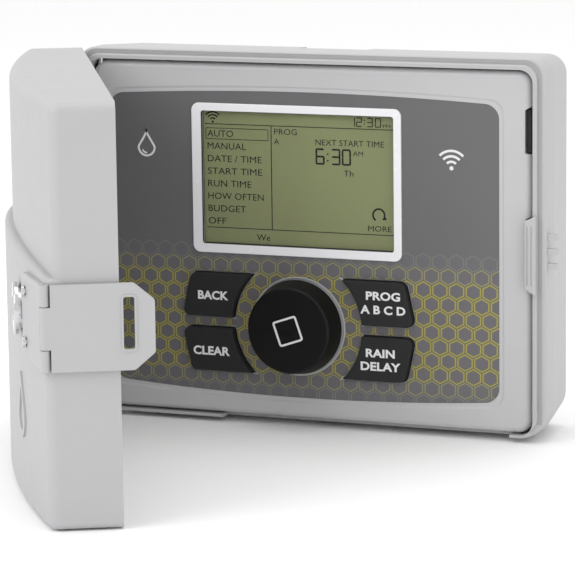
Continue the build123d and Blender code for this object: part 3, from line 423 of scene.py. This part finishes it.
def screen_material(colours):
    """Liquid crystal glass with a faint uneven tint and a fine grain."""
    material, graph, shader = new_material("screen_lcd")
    place = graph.place()
    cloud = graph.noise(place, 24.0, 3.0)
    grain = graph.noise(place, 2600.0, 2.0)
    speckle = graph.ramp(grain, 0.3, 0.7, -0.03, 0.03)
    tint = graph.math("ADD", graph.ramp(cloud, 0.3, 0.7, 0.95, 1.05), speckle)
    value = graph.add("ShaderNodeHueSaturation", Color=rgba(colours.lcd), Value=tint)
    graph.feed(shader.inputs["Base Color"], value.outputs[0])
    graph.feed(shader.inputs["Roughness"], graph.ramp(cloud, 0.3, 0.7, 0.28, 0.36))
    bump(graph, shader, grain, 0.000006)
    return material


def clear_material():
    """Thin clear window with a little haze and fine wipe marks."""
    material, graph, shader = new_material("screen_clear")
    place = graph.add("ShaderNodeMapping", Vector=graph.place())
    place.inputs["Rotation"].default_value = (0.0, 0.6, 0.0)
    place.inputs["Scale"].default_value = (40.0, 1.0, 400.0)
    wipes = graph.ramp(graph.noise(place.outputs[0], 2.0, 4.0), 0.55, 0.8)
    shader.inputs["Base Color"].default_value = (0.9, 0.92, 0.9, 1.0)
    graph.feed(shader.inputs["Roughness"], graph.math("MULTIPLY_ADD", wipes, 0.12, 0.06))
    graph.feed(shader.inputs["Alpha"], graph.math("MULTIPLY_ADD", wipes, 0.015, 0.012))
    return material


def board_material(colour):
    """Solder mask over copper tracks."""
    material, graph, shader = new_material("board_green")
    place = graph.place()
    parts = graph.add("ShaderNodeSeparateXYZ", Vector=place)
    cells = graph.add("ShaderNodeTexVoronoi", {"distance": "MANHATTAN"}, Vector=place, Scale=160.0)
    edges = graph.math("LESS_THAN", graph.math("PINGPONG", cells.outputs["Distance"], 0.12), 0.035)
    lanes = graph.math("LESS_THAN", graph.math("PINGPONG", parts.outputs["X"], 0.0016), 0.0004)
    blocks = graph.math("GREATER_THAN", graph.noise(place, 46.0, 1.0), 0.5)
    lane_tracks = graph.math("MULTIPLY", lanes, blocks)
    edge_tracks = graph.math("MULTIPLY", edges, graph.math("SUBTRACT", 1.0, blocks))
    tracks = graph.math("MAXIMUM", lane_tracks, edge_tracks)
    light = rgba([min(1.0, c * 1.9 + 0.01) for c in colour])
    graph.feed(shader.inputs["Base Color"], graph.mix(tracks, rgba(colour), light))
    graph.feed(shader.inputs["Roughness"], graph.ramp(graph.noise(place, 300.0), 0.3, 0.7, 0.22, 0.32))
    bump(graph, shader, tracks, 0.00003)
    return material


def laminated_material(colour):
    """Varnished stack of thin sheets, seen as lines along Y."""
    material, graph, shader = new_material("iron_core")
    place = graph.place()
    parts = graph.add("ShaderNodeSeparateXYZ", Vector=place)
    sheet = graph.math("PINGPONG", parts.outputs["Y"], 0.00025)
    seam = graph.math("LESS_THAN", sheet, 0.00005)
    rust = graph.ramp(graph.noise(place, 260.0, 5.0), 0.5, 0.75)
    varnished = graph.mix(rust, rgba(colour), (0.16, 0.09, 0.05, 1.0))
    graph.feed(shader.inputs["Base Color"], graph.mix(seam, varnished, (0.02, 0.02, 0.02, 1.0)))
    graph.feed(shader.inputs["Roughness"], graph.ramp(rust, 0.0, 1.0, 0.4, 0.62))
    shader.inputs["Metallic"].default_value = 0.6
    bump(graph, shader, graph.math("SUBTRACT", 1.0, seam), 0.00008)
    return material


def tape_material(colour):
    """Winding tape: overlapping turns and a few wrinkles."""
    material, graph, shader = new_material("coil_tape")
    place = graph.place()
    parts = graph.add("ShaderNodeSeparateXYZ", Vector=place)
    wrinkle = graph.noise(place, 210.0, 4.0)
    height = graph.math("ADD", parts.outputs["Z"], graph.math("MULTIPLY", wrinkle, 0.001))
    turn = graph.math("PINGPONG", height, 0.0042)
    edge = graph.math("LESS_THAN", turn, 0.00018)
    graph.feed(shader.inputs["Base Color"], graph.mix(edge, rgba(colour), rgba([c * 0.55 for c in colour])))
    graph.feed(shader.inputs["Roughness"], graph.ramp(wrinkle, 0.3, 0.7, 0.24, 0.4))
    bump(graph, shader, graph.math("ADD", graph.math("MULTIPLY", wrinkle, 0.5), turn), 0.0002)
    return material


def make_materials(colours, sizes):
    """Every finish of the object, by the name of its slot."""
    grain = moulded_group()
    brushed = brushed_group()
    comb = honeycomb_group()
    return {
        "housing_grey": moulded("housing_grey", grain, colours.housing, 0.52),
        "seal_grey": moulded("seal_grey", grain, (0.36, 0.36, 0.36), 0.75, 1300.0, 0.1),
        "cover_grey": moulded("cover_grey", grain, colours.cover, 0.5),
        "panel_grey": moulded("panel_grey", grain, colours.panel, 0.4, 2400.0, 0.04, 0.00002),
        "label_print": label_material(colours, sizes, comb, grain),
        "screen_white": moulded("screen_white", grain, (0.86, 0.86, 0.88), 0.24, 2600.0, 0.03, 0.000006),
        "screen_clear": clear_material(),
        "screen_lcd": screen_material(colours),
        "screen_ink": moulded("screen_ink", grain, colours.ink, 0.6, 3000.0, 0.1, 0.000003, 0.0, 0.1),
        "black_rubber": moulded(
            "black_rubber", grain, (0.010, 0.010, 0.011), 0.7, 1500.0, 0.2, 0.00004, 0.1
        ),
        "black_plastic": moulded(
            "black_plastic", grain, colours.key, 0.42, 1700.0, 0.15, 0.00003, 0.35, 0.22
        ),
        "mark_white": moulded("mark_white", grain, colours.mark, 0.4, 3000.0, 0.03, 0.000004, 0.0),
        "board_green": board_material((0.012, 0.11, 0.045)),
        "terminal_green": moulded("terminal_green", grain, (0.03, 0.22, 0.07), 0.36, 1800.0, 0.08),
        "steel": metal("steel", brushed, (0.62, 0.62, 0.63), 0.3, 1400.0),
        "chrome": metal("chrome", brushed, (0.60, 0.60, 0.61), 0.16, 700.0, 0.000003),
        "iron_core": laminated_material((0.10, 0.10, 0.11)),
        "coil_tape": tape_material((0.55, 0.42, 0.06)),
        "chip_black": moulded("chip_black", grain, (0.016, 0.016, 0.017), 0.5, 1500.0, 0.2),
        "inner_white": moulded("inner_white", grain, (0.66, 0.66, 0.64), 0.42, 1700.0, 0.04),
    }


# ---------------------------------------------------------------- mesh helpers


def finish_piece(name, mesh_data, body, material):
    """Turn a bmesh into a named piece that rides on a body."""
    bmesh.ops.remove_doubles(mesh_data, verts=mesh_data.verts, dist=1e-7)
    bmesh.ops.recalc_face_normals(mesh_data, faces=mesh_data.faces)
    mesh = bpy.data.meshes.new(name)
    mesh_data.to_mesh(mesh)
    mesh_data.free()
    mesh.materials.append(material)
    piece = bpy.data.objects.new(name, mesh)
    bpy.context.scene.collection.objects.link(piece)
    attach(piece, body)
    return piece


def add_plate(target, low, high, soft=0.0, segments=2):
    """Box between two corners with its edges along Y rounded."""
    size = Vector(high) - Vector(low)
    middle = (Vector(high) + Vector(low)) / 2
    made = bmesh.ops.create_cube(
        target, size=1.0, matrix=Matrix.Translation(middle) @ Matrix.Diagonal((*size, 1.0))
    )
    if soft:
        corners = [
            edge
            for edge in {e for vert in made["verts"] for e in vert.link_edges}
            if abs(edge.verts[0].co.y - edge.verts[1].co.y) > size.y * 0.5
        ]
        bmesh.ops.bevel(
            target, geom=corners, offset=soft, affect="EDGES", segments=segments, profile=0.5, material=-1
        )


def add_arc_band(target, middle, radius, width, start, end, depth, steps=16):
    """Flat band along an arc in the X-Z plane, angles measured from +X towards +Z."""
    direction = Vector((math.cos(start), 0.0, math.sin(start)))
    inner = Vector(middle) + direction * (radius - width / 2)
    outer = Vector(middle) + direction * (radius + width / 2)
    back = Vector((0.0, depth, 0.0))
    corners = [target.verts.new(point) for point in (inner, outer, outer + back, inner + back)]
    profile = target.faces.new(corners)
    made = bmesh.ops.spin(
        target,
        geom=[profile, *profile.verts, *profile.edges],
        cent=middle,
        axis=(0.0, -1.0, 0.0),
        angle=end - start,
        steps=steps,
    )
    return made


def add_disc(target, middle, radius, depth, segments=24):
    """Short cylinder facing forwards."""
    place = Vector(middle) + Vector((0.0, depth / 2, 0.0))
    bmesh.ops.create_cone(
        target,
        cap_ends=True,
        segments=segments,
        radius1=radius,
        radius2=radius,
        depth=depth,
        matrix=Matrix.Translation(place) @ Matrix.Rotation(math.pi / 2, 4, "X"),
    )


def thicken(target, faces, depth):
    """Carry flat faces back along Y, which closes them into a thin solid."""
    made = bmesh.ops.extrude_face_region(target, geom=faces, use_keep_orig=True)
    moved = [item for item in made["geom"] if isinstance(item, bmesh.types.BMVert)]
    bmesh.ops.translate(target, verts=moved, vec=(0.0, depth, 0.0))


def join_into(target, part):
    """Add one bmesh to another and free it."""
    mesh = bpy.data.meshes.new("part")
    part.to_mesh(mesh)
    part.free()
    target.from_mesh(mesh)
    bpy.data.meshes.remove(mesh)


def add_ring(target, x0, x1, z0, z1, y, depth, line, radius):
    """Rounded rectangle cut to a line of even width and given a depth."""
    outline = bmesh.new()
    corners = [outline.verts.new((x, y, z)) for x, z in ((x0, z0), (x1, z0), (x1, z1), (x0, z1))]
    outline.faces.new(corners)
    bmesh.ops.bevel(
        outline, geom=outline.verts[:], offset=radius, affect="VERTICES", segments=5, profile=0.5,
        material=-1,
    )
    face = outline.faces[:][0]
    inset = bmesh.ops.inset_region(
        outline, faces=[face], thickness=line, use_even_offset=True, use_boundary=True
    )
    ring = inset["faces"]
    bmesh.ops.delete(outline, geom=[face], context="FACES_ONLY")
    thicken(outline, ring, depth)
    join_into(target, outline)


def add_words(target, words, middle, size, depth, weight=0.0):
    """Raised lettering that faces forwards and fills a width and height about a middle point."""
    curve = bpy.data.curves.new("lettering", "FONT")
    curve.body = words
    curve.align_x = "CENTER"
    curve.size = 1.0
    curve.offset = weight
    curve.extrude = 0.5
    curve.resolution_u = 3
    curve.space_character = 1.02
    helper = bpy.data.objects.new("lettering", curve)
    bpy.context.scene.collection.objects.link(helper)
    bpy.context.view_layer.update()
    mesh = bpy.data.meshes.new_from_object(helper)
    bpy.data.objects.remove(helper)
    bpy.data.curves.remove(curve)
    low = Vector([min(v.co[i] for v in mesh.vertices) for i in range(3)])
    high = Vector([max(v.co[i] for v in mesh.vertices) for i in range(3)])
    span = high - low
    fit = Matrix.Diagonal((size[0] / span.x, size[1] / span.y, depth / span.z, 1.0))
    centred = fit @ Matrix.Translation(-(low + high) / 2)
    upright = Matrix.Rotation(math.pi / 2, 4, "X")
    mesh.transform(Matrix.Translation(middle) @ upright @ centred)
    target.from_mesh(mesh)
    bpy.data.meshes.remove(mesh)


SEGMENTS = {
    "0": "abcdef",
    "1": "bc",
    "2": "abged",
    "3": "abgcd",
    "6": "afgedc",
}


def add_digit(target, digit, x0, z0, width, height, line, y, depth):
    """Seven-segment digit, its bars mitred at the ends."""
    half = height / 2
    gap = line * 0.16
    bars = {
        "a": ((x0 + line / 2, z0 + height - line / 2), (x0 + width - line / 2, z0 + height - line / 2)),
        "g": ((x0 + line / 2, z0 + half), (x0 + width - line / 2, z0 + half)),
        "d": ((x0 + line / 2, z0 + line / 2), (x0 + width - line / 2, z0 + line / 2)),
        "f": ((x0 + line / 2, z0 + half), (x0 + line / 2, z0 + height - line / 2)),
        "b": ((x0 + width - line / 2, z0 + half), (x0 + width - line / 2, z0 + height - line / 2)),
        "e": ((x0 + line / 2, z0 + line / 2), (x0 + line / 2, z0 + half)),
        "c": ((x0 + width - line / 2, z0 + line / 2), (x0 + width - line / 2, z0 + half)),
    }
    for name in SEGMENTS[digit]:
        (xa, za), (xb, zb) = bars[name]
        along = Vector((xb - xa, 0.0, zb - za)).normalized()
        low = Vector((min(xa, xb), y, min(za, zb))) + along * gap
        high = Vector((max(xa, xb), y + depth, max(za, zb))) - along * gap
        across = Vector((along.z, 0.0, along.x)) * (line / 2)
        ends = along * (line * 0.3)
        add_plate(target, low - across - ends, high + across + ends, soft=line * 0.42, segments=1)


# ---------------------------------------------------------------- pieces

MATERIALS = {}


class CONTROLLER_OT_finishes(bpy.types.Operator):
    """Make every material and give each CAD part its own finish"""

    bl_idname = "controller.finishes"
    bl_label = "Finishes"

    def execute(self, context):
        scene = context.scene
        MATERIALS.update(make_materials(scene.controller_colours, scene.controller_sizes))
        for part in frame["record"]["subparts"]:
            node = frame["nodes"][part["node"]]
            material = MATERIALS[part["material_slot"]]
            if not node.material_slots:
                node.data.materials.append(material)
            for place in node.material_slots:
                place.material = material
        return {"FINISHED"}


class CONTROLLER_OT_label_marks(bpy.types.Operator):
    """Print a plain drop on the left of the label and a radio sign on the right"""

    bl_idname = "controller.label_marks"
    bl_label = "Label Marks"

    def execute(self, context):
        depth = context.scene.controller_sizes.print_depth
        y = LABEL_LOW.y - depth
        drop = bmesh.new()
        middle = Vector((LABEL_LOW.x + 20.9 * MM, y, LABEL_HIGH.z - 31.5 * MM))
        bmesh.ops.create_circle(drop, cap_ends=True, segments=40, radius=5.2 * MM)
        for vert in drop.verts:
            rise = max(0.0, vert.co.y / (5.2 * MM))
            vert.co.x *= 1.0 - 0.9 * rise ** 1.5
            vert.co.y += 4.6 * MM * rise ** 2
        bmesh.ops.transform(
            drop, matrix=Matrix.Translation(middle) @ Matrix.Rotation(math.pi / 2, 4, "X"), verts=drop.verts
        )
        face = drop.faces[:]
        inset = bmesh.ops.inset_region(
            drop, faces=face, thickness=1.1 * MM, use_even_offset=True, use_boundary=True
        )
        ring = inset["faces"]
        bmesh.ops.delete(drop, geom=face, context="FACES_ONLY")
        thicken(drop, ring, depth)
        add_arc_band(
            drop, middle + Vector((0.0, 0.0, -0.6 * MM)), 2.5 * MM, 0.8 * MM,
            math.radians(200), math.radians(275), depth,
        )
        finish_piece("label_drop_mark", drop, "panel", MATERIALS["mark_white"])
        radio = bmesh.new()
        foot = Vector((LABEL_HIGH.x - 25.5 * MM, y, LABEL_HIGH.z - 36.5 * MM))
        for radius in (3.4, 6.2, 9.0):
            add_arc_band(
                radio, foot, radius * MM, 1.25 * MM, math.radians(45), math.radians(135), depth, steps=18
            )
        add_disc(radio, foot, 1.1 * MM, depth)
        finish_piece("label_radio_mark", radio, "panel", MATERIALS["mark_white"])
        return {"FINISHED"}


KEY_WORDS = {
    "back_key": ("key_words_back", "button_back", [("BACK", (-53.4, -31.8), (17.4, 4.75))]),
    "clear_key": ("key_words_clear", "button_clear", [("CLEAR", (-54.8, -61.7), (20.9, 4.8))]),
    "program_key": (
        "key_words_program",
        "button_program",
        [("PROG", (42.1, -27.4), (18.8, 4.6)), ("A B C D", (42.0, -34.7), (24.8, 4.65))],
    ),
    "delay_key": (
        "key_words_delay",
        "button_delay",
        [("RAIN", (40.4, -57.6), (16.0, 4.5)), ("DELAY", (40.5, -64.6), (22.0, 4.6))],
    ),
}


class CONTROLLER_OT_key_words(bpy.types.Operator):
    """Print the plain function words on the four keys"""

    bl_idname = "controller.key_words"
    bl_label = "Key Words"

    def execute(self, context):
        depth = context.scene.controller_sizes.print_depth
        for body, (name, node, lines) in KEY_WORDS.items():
            low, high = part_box(node)
            target = bmesh.new()
            for words, (x, z), (width, height) in lines:
                middle = Vector((x * MM, low.y - depth / 2, z * MM))
                add_words(target, words, middle, (width * MM, height * MM), depth, weight=0.034)
            finish_piece(name, target, body, MATERIALS["mark_white"])
        return {"FINISHED"}


MENU = [
    ("AUTO", 14.7),
    ("MANUAL", 21.9),
    ("DATE / TIME", 30.6),
    ("START TIME", 30.8),
    ("RUN TIME", 24.7),
    ("HOW OFTEN", 31.5),
    ("BUDGET", 21.4),
    ("OFF", 10.0),
]


class CONTROLLER_OT_screen_image(bpy.types.Operator):
    """Segments, words and lines that the display shows"""

    bl_idname = "controller.screen_image"
    bl_label = "Screen Image"

    def execute(self, context):
        sizes = context.scene.controller_sizes
        depth = sizes.ink_depth
        rule = sizes.rule
        y = GLASS_LOW.y - depth
        y_middle = y + depth / 2
        ink = bmesh.new()

        def words(text, left, middle_z, width, height):
            place = Vector(((left + width / 2) * MM, y_middle, middle_z * MM))
            add_words(ink, text, place, (width * MM, height * MM), depth)

        def bar(x0, x1, z0, z1):
            add_plate(ink, (x0 * MM, y, z0 * MM), (x1 * MM, y + depth, z1 * MM))

        for i, (text, width) in enumerate(MENU):
            words(text, -57.5, 53.7 - 6.62 * i, width, 3.45)
        add_ring(ink, -58.5 * MM, -22.9 * MM, 50.6 * MM, 56.7 * MM, y, depth, 0.36 * MM, 0.8 * MM)
        bar(-58.7, 46.4, 58.5, 58.5 + rule / MM)
        bar(-58.4, 46.4, 3.6, 3.6 + rule / MM)
        bar(-21.6, -21.1, 3.9, 58.5)
        words("PROG", -19.6, 55.8, 12.7, 3.1)
        words("A", -19.8, 50.5, 2.9, 2.8)
        words("NEXT START TIME", 3.5, 51.0, 37.8, 3.1)
        for digit, x in (("6", 3.4), ("3", 12.2), ("0", 18.0)):
            add_digit(ink, digit, x * MM, 39.3 * MM, 5.1 * MM, 8.6 * MM, 0.95 * MM, y, depth)
        for z in (41.6, 45.0):
            add_disc(ink, (10.2 * MM, y, z * MM), 0.48 * MM, depth)
        words("AM", 24.2, 45.8, 5.6, 2.4)
        words("Th", 19.0, 35.2, 5.4, 3.1)
        for digit, x in (("1", 22.2), ("2", 26.1), ("3", 32.0), ("0", 36.5)):
            add_digit(ink, digit, x * MM, 59.8 * MM, 3.3 * MM, 4.9 * MM, 0.5 * MM, y, depth)
        for z in (61.4, 63.2):
            add_disc(ink, (30.7 * MM, y, z * MM), 0.3 * MM, depth)
        words("PM", 40.8, 60.6, 4.1, 1.7)
        words("MORE", 32.3, 7.0, 12.9, 2.9)
        words("We", -30.1, -0.5, 7.5, 3.3)
        turn = Vector((38.2 * MM, y, 14.2 * MM))
        add_arc_band(ink, turn, 3.2 * MM, 0.95 * MM, math.radians(-20), math.radians(238), depth, steps=30)
        head = bmesh.ops.create_circle(ink, cap_ends=True, segments=3, radius=1.5 * MM)
        tip = turn + Vector((3.2 * MM, 0.0, -1.7 * MM))
        upright = Matrix.Rotation(math.pi / 2, 4, "X")
        placed = Matrix.Translation(tip) @ upright @ Matrix.Rotation(-2.0, 4, "Z")
        bmesh.ops.transform(ink, matrix=placed, verts=head["verts"])
        thicken(ink, list({face for vert in head["verts"] for face in vert.link_faces}), depth)
        foot = Vector((-54.3 * MM, y, 59.9 * MM))
        for radius in (1.9, 3.6, 5.2):
            add_arc_band(
                ink, foot, radius * MM, 0.75 * MM, math.radians(42), math.radians(138), depth, steps=14
            )
        add_disc(ink, foot, 0.6 * MM, depth)
        finish_piece("screen_segments", ink, "panel", MATERIALS["screen_ink"])
        return {"FINISHED"}


class CONTROLLER_OT_painted_screen_shade(bpy.types.Operator):
    """Black ring between the display and its window, and a black lining of the opening: both painted shade
    for the shadow inside the window's walls
    """

    bl_idname = "controller.screen_mask"
    bl_label = "Painted Screen Shade"

    def execute(self, context):
        gap = 0.04 * MM
        mask = bmesh.new()
        # painted shade: black ring behind the window edge stands for the dark gap along the window's inner
        # wall
        add_ring(
            mask, WINDOW_LOW.x - 0.02 * MM, WINDOW_HIGH.x + 0.02 * MM, WINDOW_LOW.z - 0.02 * MM,
            WINDOW_HIGH.z + 0.02 * MM, WINDOW_HIGH.y + gap, 0.05 * MM, 0.4 * MM, 1.3 * MM,
        )
        # painted shade: black lining on the inner walls of the opening, where their shadow falls
        add_ring(
            mask, WINDOW_LOW.x - 0.03 * MM, WINDOW_HIGH.x + 0.03 * MM, WINDOW_LOW.z - 0.03 * MM,
            WINDOW_HIGH.z + 0.03 * MM, WINDOW_LOW.y - 1.5 * MM, 1.48 * MM, 0.22 * MM, 1.4 * MM,
        )
        finish_piece("screen_mask", mask, "panel", MATERIALS["chip_black"])
        return {"FINISHED"}


class CONTROLLER_OT_painted_notch_shade(bpy.types.Operator):
    """Black plate in the finger notch of the panel: painted shade of the deep notch"""

    bl_idname = "controller.notch_pad"
    bl_label = "Painted Notch Shade"

    def execute(self, context):
        right = BEZEL_HIGH.x - 0.3 * MM
        left = right - 2.6 * MM
        front = BEZEL_LOW.y + 1.7 * MM
        pad = bmesh.new()
        # painted shade: a black plate sunk in the notch stands for the shadow inside it
        add_plate(pad, (left, front, 50.2 * MM), (right, front + 5.0 * MM, 71.6 * MM), soft=0.5 * MM)
        finish_piece("notch_pad", pad, "panel", MATERIALS["black_rubber"])
        return {"FINISHED"}


class CONTROLLER_OT_terminal_numbers(bpy.types.Operator):
    """Numbers under the field terminals and an outline round them"""

    bl_idname = "controller.terminal_numbers"
    bl_label = "Terminal Numbers"

    def execute(self, context):
        depth = context.scene.controller_sizes.print_depth
        ways = 12
        border = 0.8 * MM
        pitch = 9.2 * MM
        first = (TERMINALS_LOW.x + TERMINALS_HIGH.x) / 2 - pitch * (ways - 1) / 2
        y = BOARD_LOW.y - depth / 2
        target = bmesh.new()
        for i in range(ways):
            number = str(i + 1)
            middle = Vector((first + pitch * i, y, TERMINALS_LOW.z - 4.2 * MM))
            add_words(target, number, middle, (1.5 * MM * len(number), 2.4 * MM), depth)
        add_ring(
            target, TERMINALS_LOW.x - border, TERMINALS_HIGH.x + border, TERMINALS_LOW.z - border,
            TERMINALS_HIGH.z + border, BOARD_LOW.y - depth, depth, 0.25 * MM, 0.5 * MM,
        )
        finish_piece("terminal_numbers", target, "housing", MATERIALS["mark_white"])
        return {"FINISHED"}


class CONTROLLER_OT_studio(bpy.types.Operator):
    """Pale floor, soft lights and the camera"""

    bl_idname = "controller.studio"
    bl_label = "Studio"

    def execute(self, context):
        scene = context.scene
        studio = scene.controller_studio
        low, high = cad_box
        floor_data = bmesh.new()
        bmesh.ops.create_grid(floor_data, x_segments=8, y_segments=8, size=12.0)
        bmesh.ops.translate(floor_data, verts=floor_data.verts, vec=(0.0, 0.0, low.z))
        mesh = bpy.data.meshes.new("studio_floor")
        floor_data.to_mesh(mesh)
        floor_data.free()
        floor = bpy.data.objects.new("studio_floor", mesh)
        scene.collection.objects.link(floor)
        material, graph, shader = new_material("studio_floor")
        speckle = graph.noise(graph.place(), 90.0, 3.0)
        dim = rgba([c * 0.985 for c in studio.floor_colour])
        graph.feed(shader.inputs["Base Color"], graph.mix(speckle, dim, rgba(studio.floor_colour)))
        shader.inputs["Roughness"].default_value = 0.8
        shader.inputs["Specular IOR Level"].default_value = 0.1
        mesh.materials.append(material)

        world = bpy.data.worlds.new("studio_world")
        scene.world = world
        world.use_nodes = True
        background = world.node_tree.nodes["Background"]
        background.inputs["Color"].default_value = (1.0, 1.0, 1.0, 1.0)
        background.inputs["Strength"].default_value = 1.0

        target = Vector(studio.target)
        lights = [
            ("key_light", (-0.75, -1.25, 1.0), 0.9, 7.5),
            ("fill_light", (1.15, -1.1, 0.35), 1.0, 1.0),
            ("top_light", (0.1, 0.1, 1.5), 1.1, 5.0),
        ]
        for name, offset, size, power in lights:
            light = bpy.data.lights.new(name, "AREA")
            light.shape = "SQUARE"
            light.size = size
            light.energy = power
            lamp = bpy.data.objects.new(name, light)
            scene.collection.objects.link(lamp)
            place = target + Vector(offset)
            lamp.location = place
            lamp.rotation_euler = (target - place).to_track_quat("-Z", "Y").to_euler()

        across = Vector((math.cos(studio.azimuth), math.sin(studio.azimuth), 0.0))
        back = Vector((
            math.sin(studio.azimuth) * math.cos(studio.elevation),
            -math.cos(studio.azimuth) * math.cos(studio.elevation),
            math.sin(studio.elevation),
        ))
        up = back.cross(across)
        right = across * math.cos(studio.roll) + up * math.sin(studio.roll)
        upward = up * math.cos(studio.roll) - across * math.sin(studio.roll)
        camera_data = bpy.data.cameras.new("studio_camera")
        camera_data.lens = studio.lens
        camera_data.sensor_width = 36.0
        camera_data.clip_end = 50.0
        camera = bpy.data.objects.new("studio_camera", camera_data)
        scene.collection.objects.link(camera)
        turn = Matrix((right, upward, back)).transposed().to_4x4()
        camera.matrix_world = Matrix.Translation(target + back * studio.distance) @ turn
        scene.camera = camera
        scene.view_settings.view_transform = "Standard"
        scene.view_settings.look = "None"
        return {"FINISHED"}


class CONTROLLER_PT_sidebar(bpy.types.Panel):
    bl_idname = "CONTROLLER_PT_sidebar"
    bl_label = "Irrigation Controller"
    bl_space_type = "VIEW_3D"
    bl_region_type = "UI"
    bl_category = "Controller"

    def draw(self, context):
        layout = self.layout
        for settings in (
            context.scene.controller_colours,
            context.scene.controller_sizes,
            context.scene.controller_studio,
        ):
            box = layout.box()
            for name in settings.bl_rna.properties.keys():
                if name not in ("rna_type", "name"):
                    box.prop(settings, name)
        for operator in OPERATORS:
            layout.operator(operator.bl_idname)


SETTINGS = (ControllerColours, ControllerSizes, StudioSettings)
OPERATORS = (
    CONTROLLER_OT_finishes,
    CONTROLLER_OT_label_marks,
    CONTROLLER_OT_key_words,
    CONTROLLER_OT_screen_image,
    CONTROLLER_OT_painted_screen_shade,
    CONTROLLER_OT_painted_notch_shade,
    CONTROLLER_OT_terminal_numbers,
    CONTROLLER_OT_studio,
)


def register():
    for cls in (*SETTINGS, *OPERATORS, CONTROLLER_PT_sidebar):
        bpy.utils.register_class(cls)
    bpy.types.Scene.controller_colours = bpy.props.PointerProperty(type=ControllerColours)
    bpy.types.Scene.controller_sizes = bpy.props.PointerProperty(type=ControllerSizes)
    bpy.types.Scene.controller_studio = bpy.props.PointerProperty(type=StudioSettings)


def unregister():
    del bpy.types.Scene.controller_studio
    del bpy.types.Scene.controller_sizes
    del bpy.types.Scene.controller_colours
    for cls in reversed((*SETTINGS, *OPERATORS, CONTROLLER_PT_sidebar)):
        bpy.utils.unregister_class(cls)


def main():
    register()
    bpy.ops.controller.finishes()
    bpy.ops.controller.label_marks()
    bpy.ops.controller.key_words()
    bpy.ops.controller.screen_image()
    bpy.ops.controller.screen_mask()
    bpy.ops.controller.notch_pad()
    bpy.ops.controller.terminal_numbers()
    bpy.ops.controller.studio()


if __name__ == "__main__":
    main()
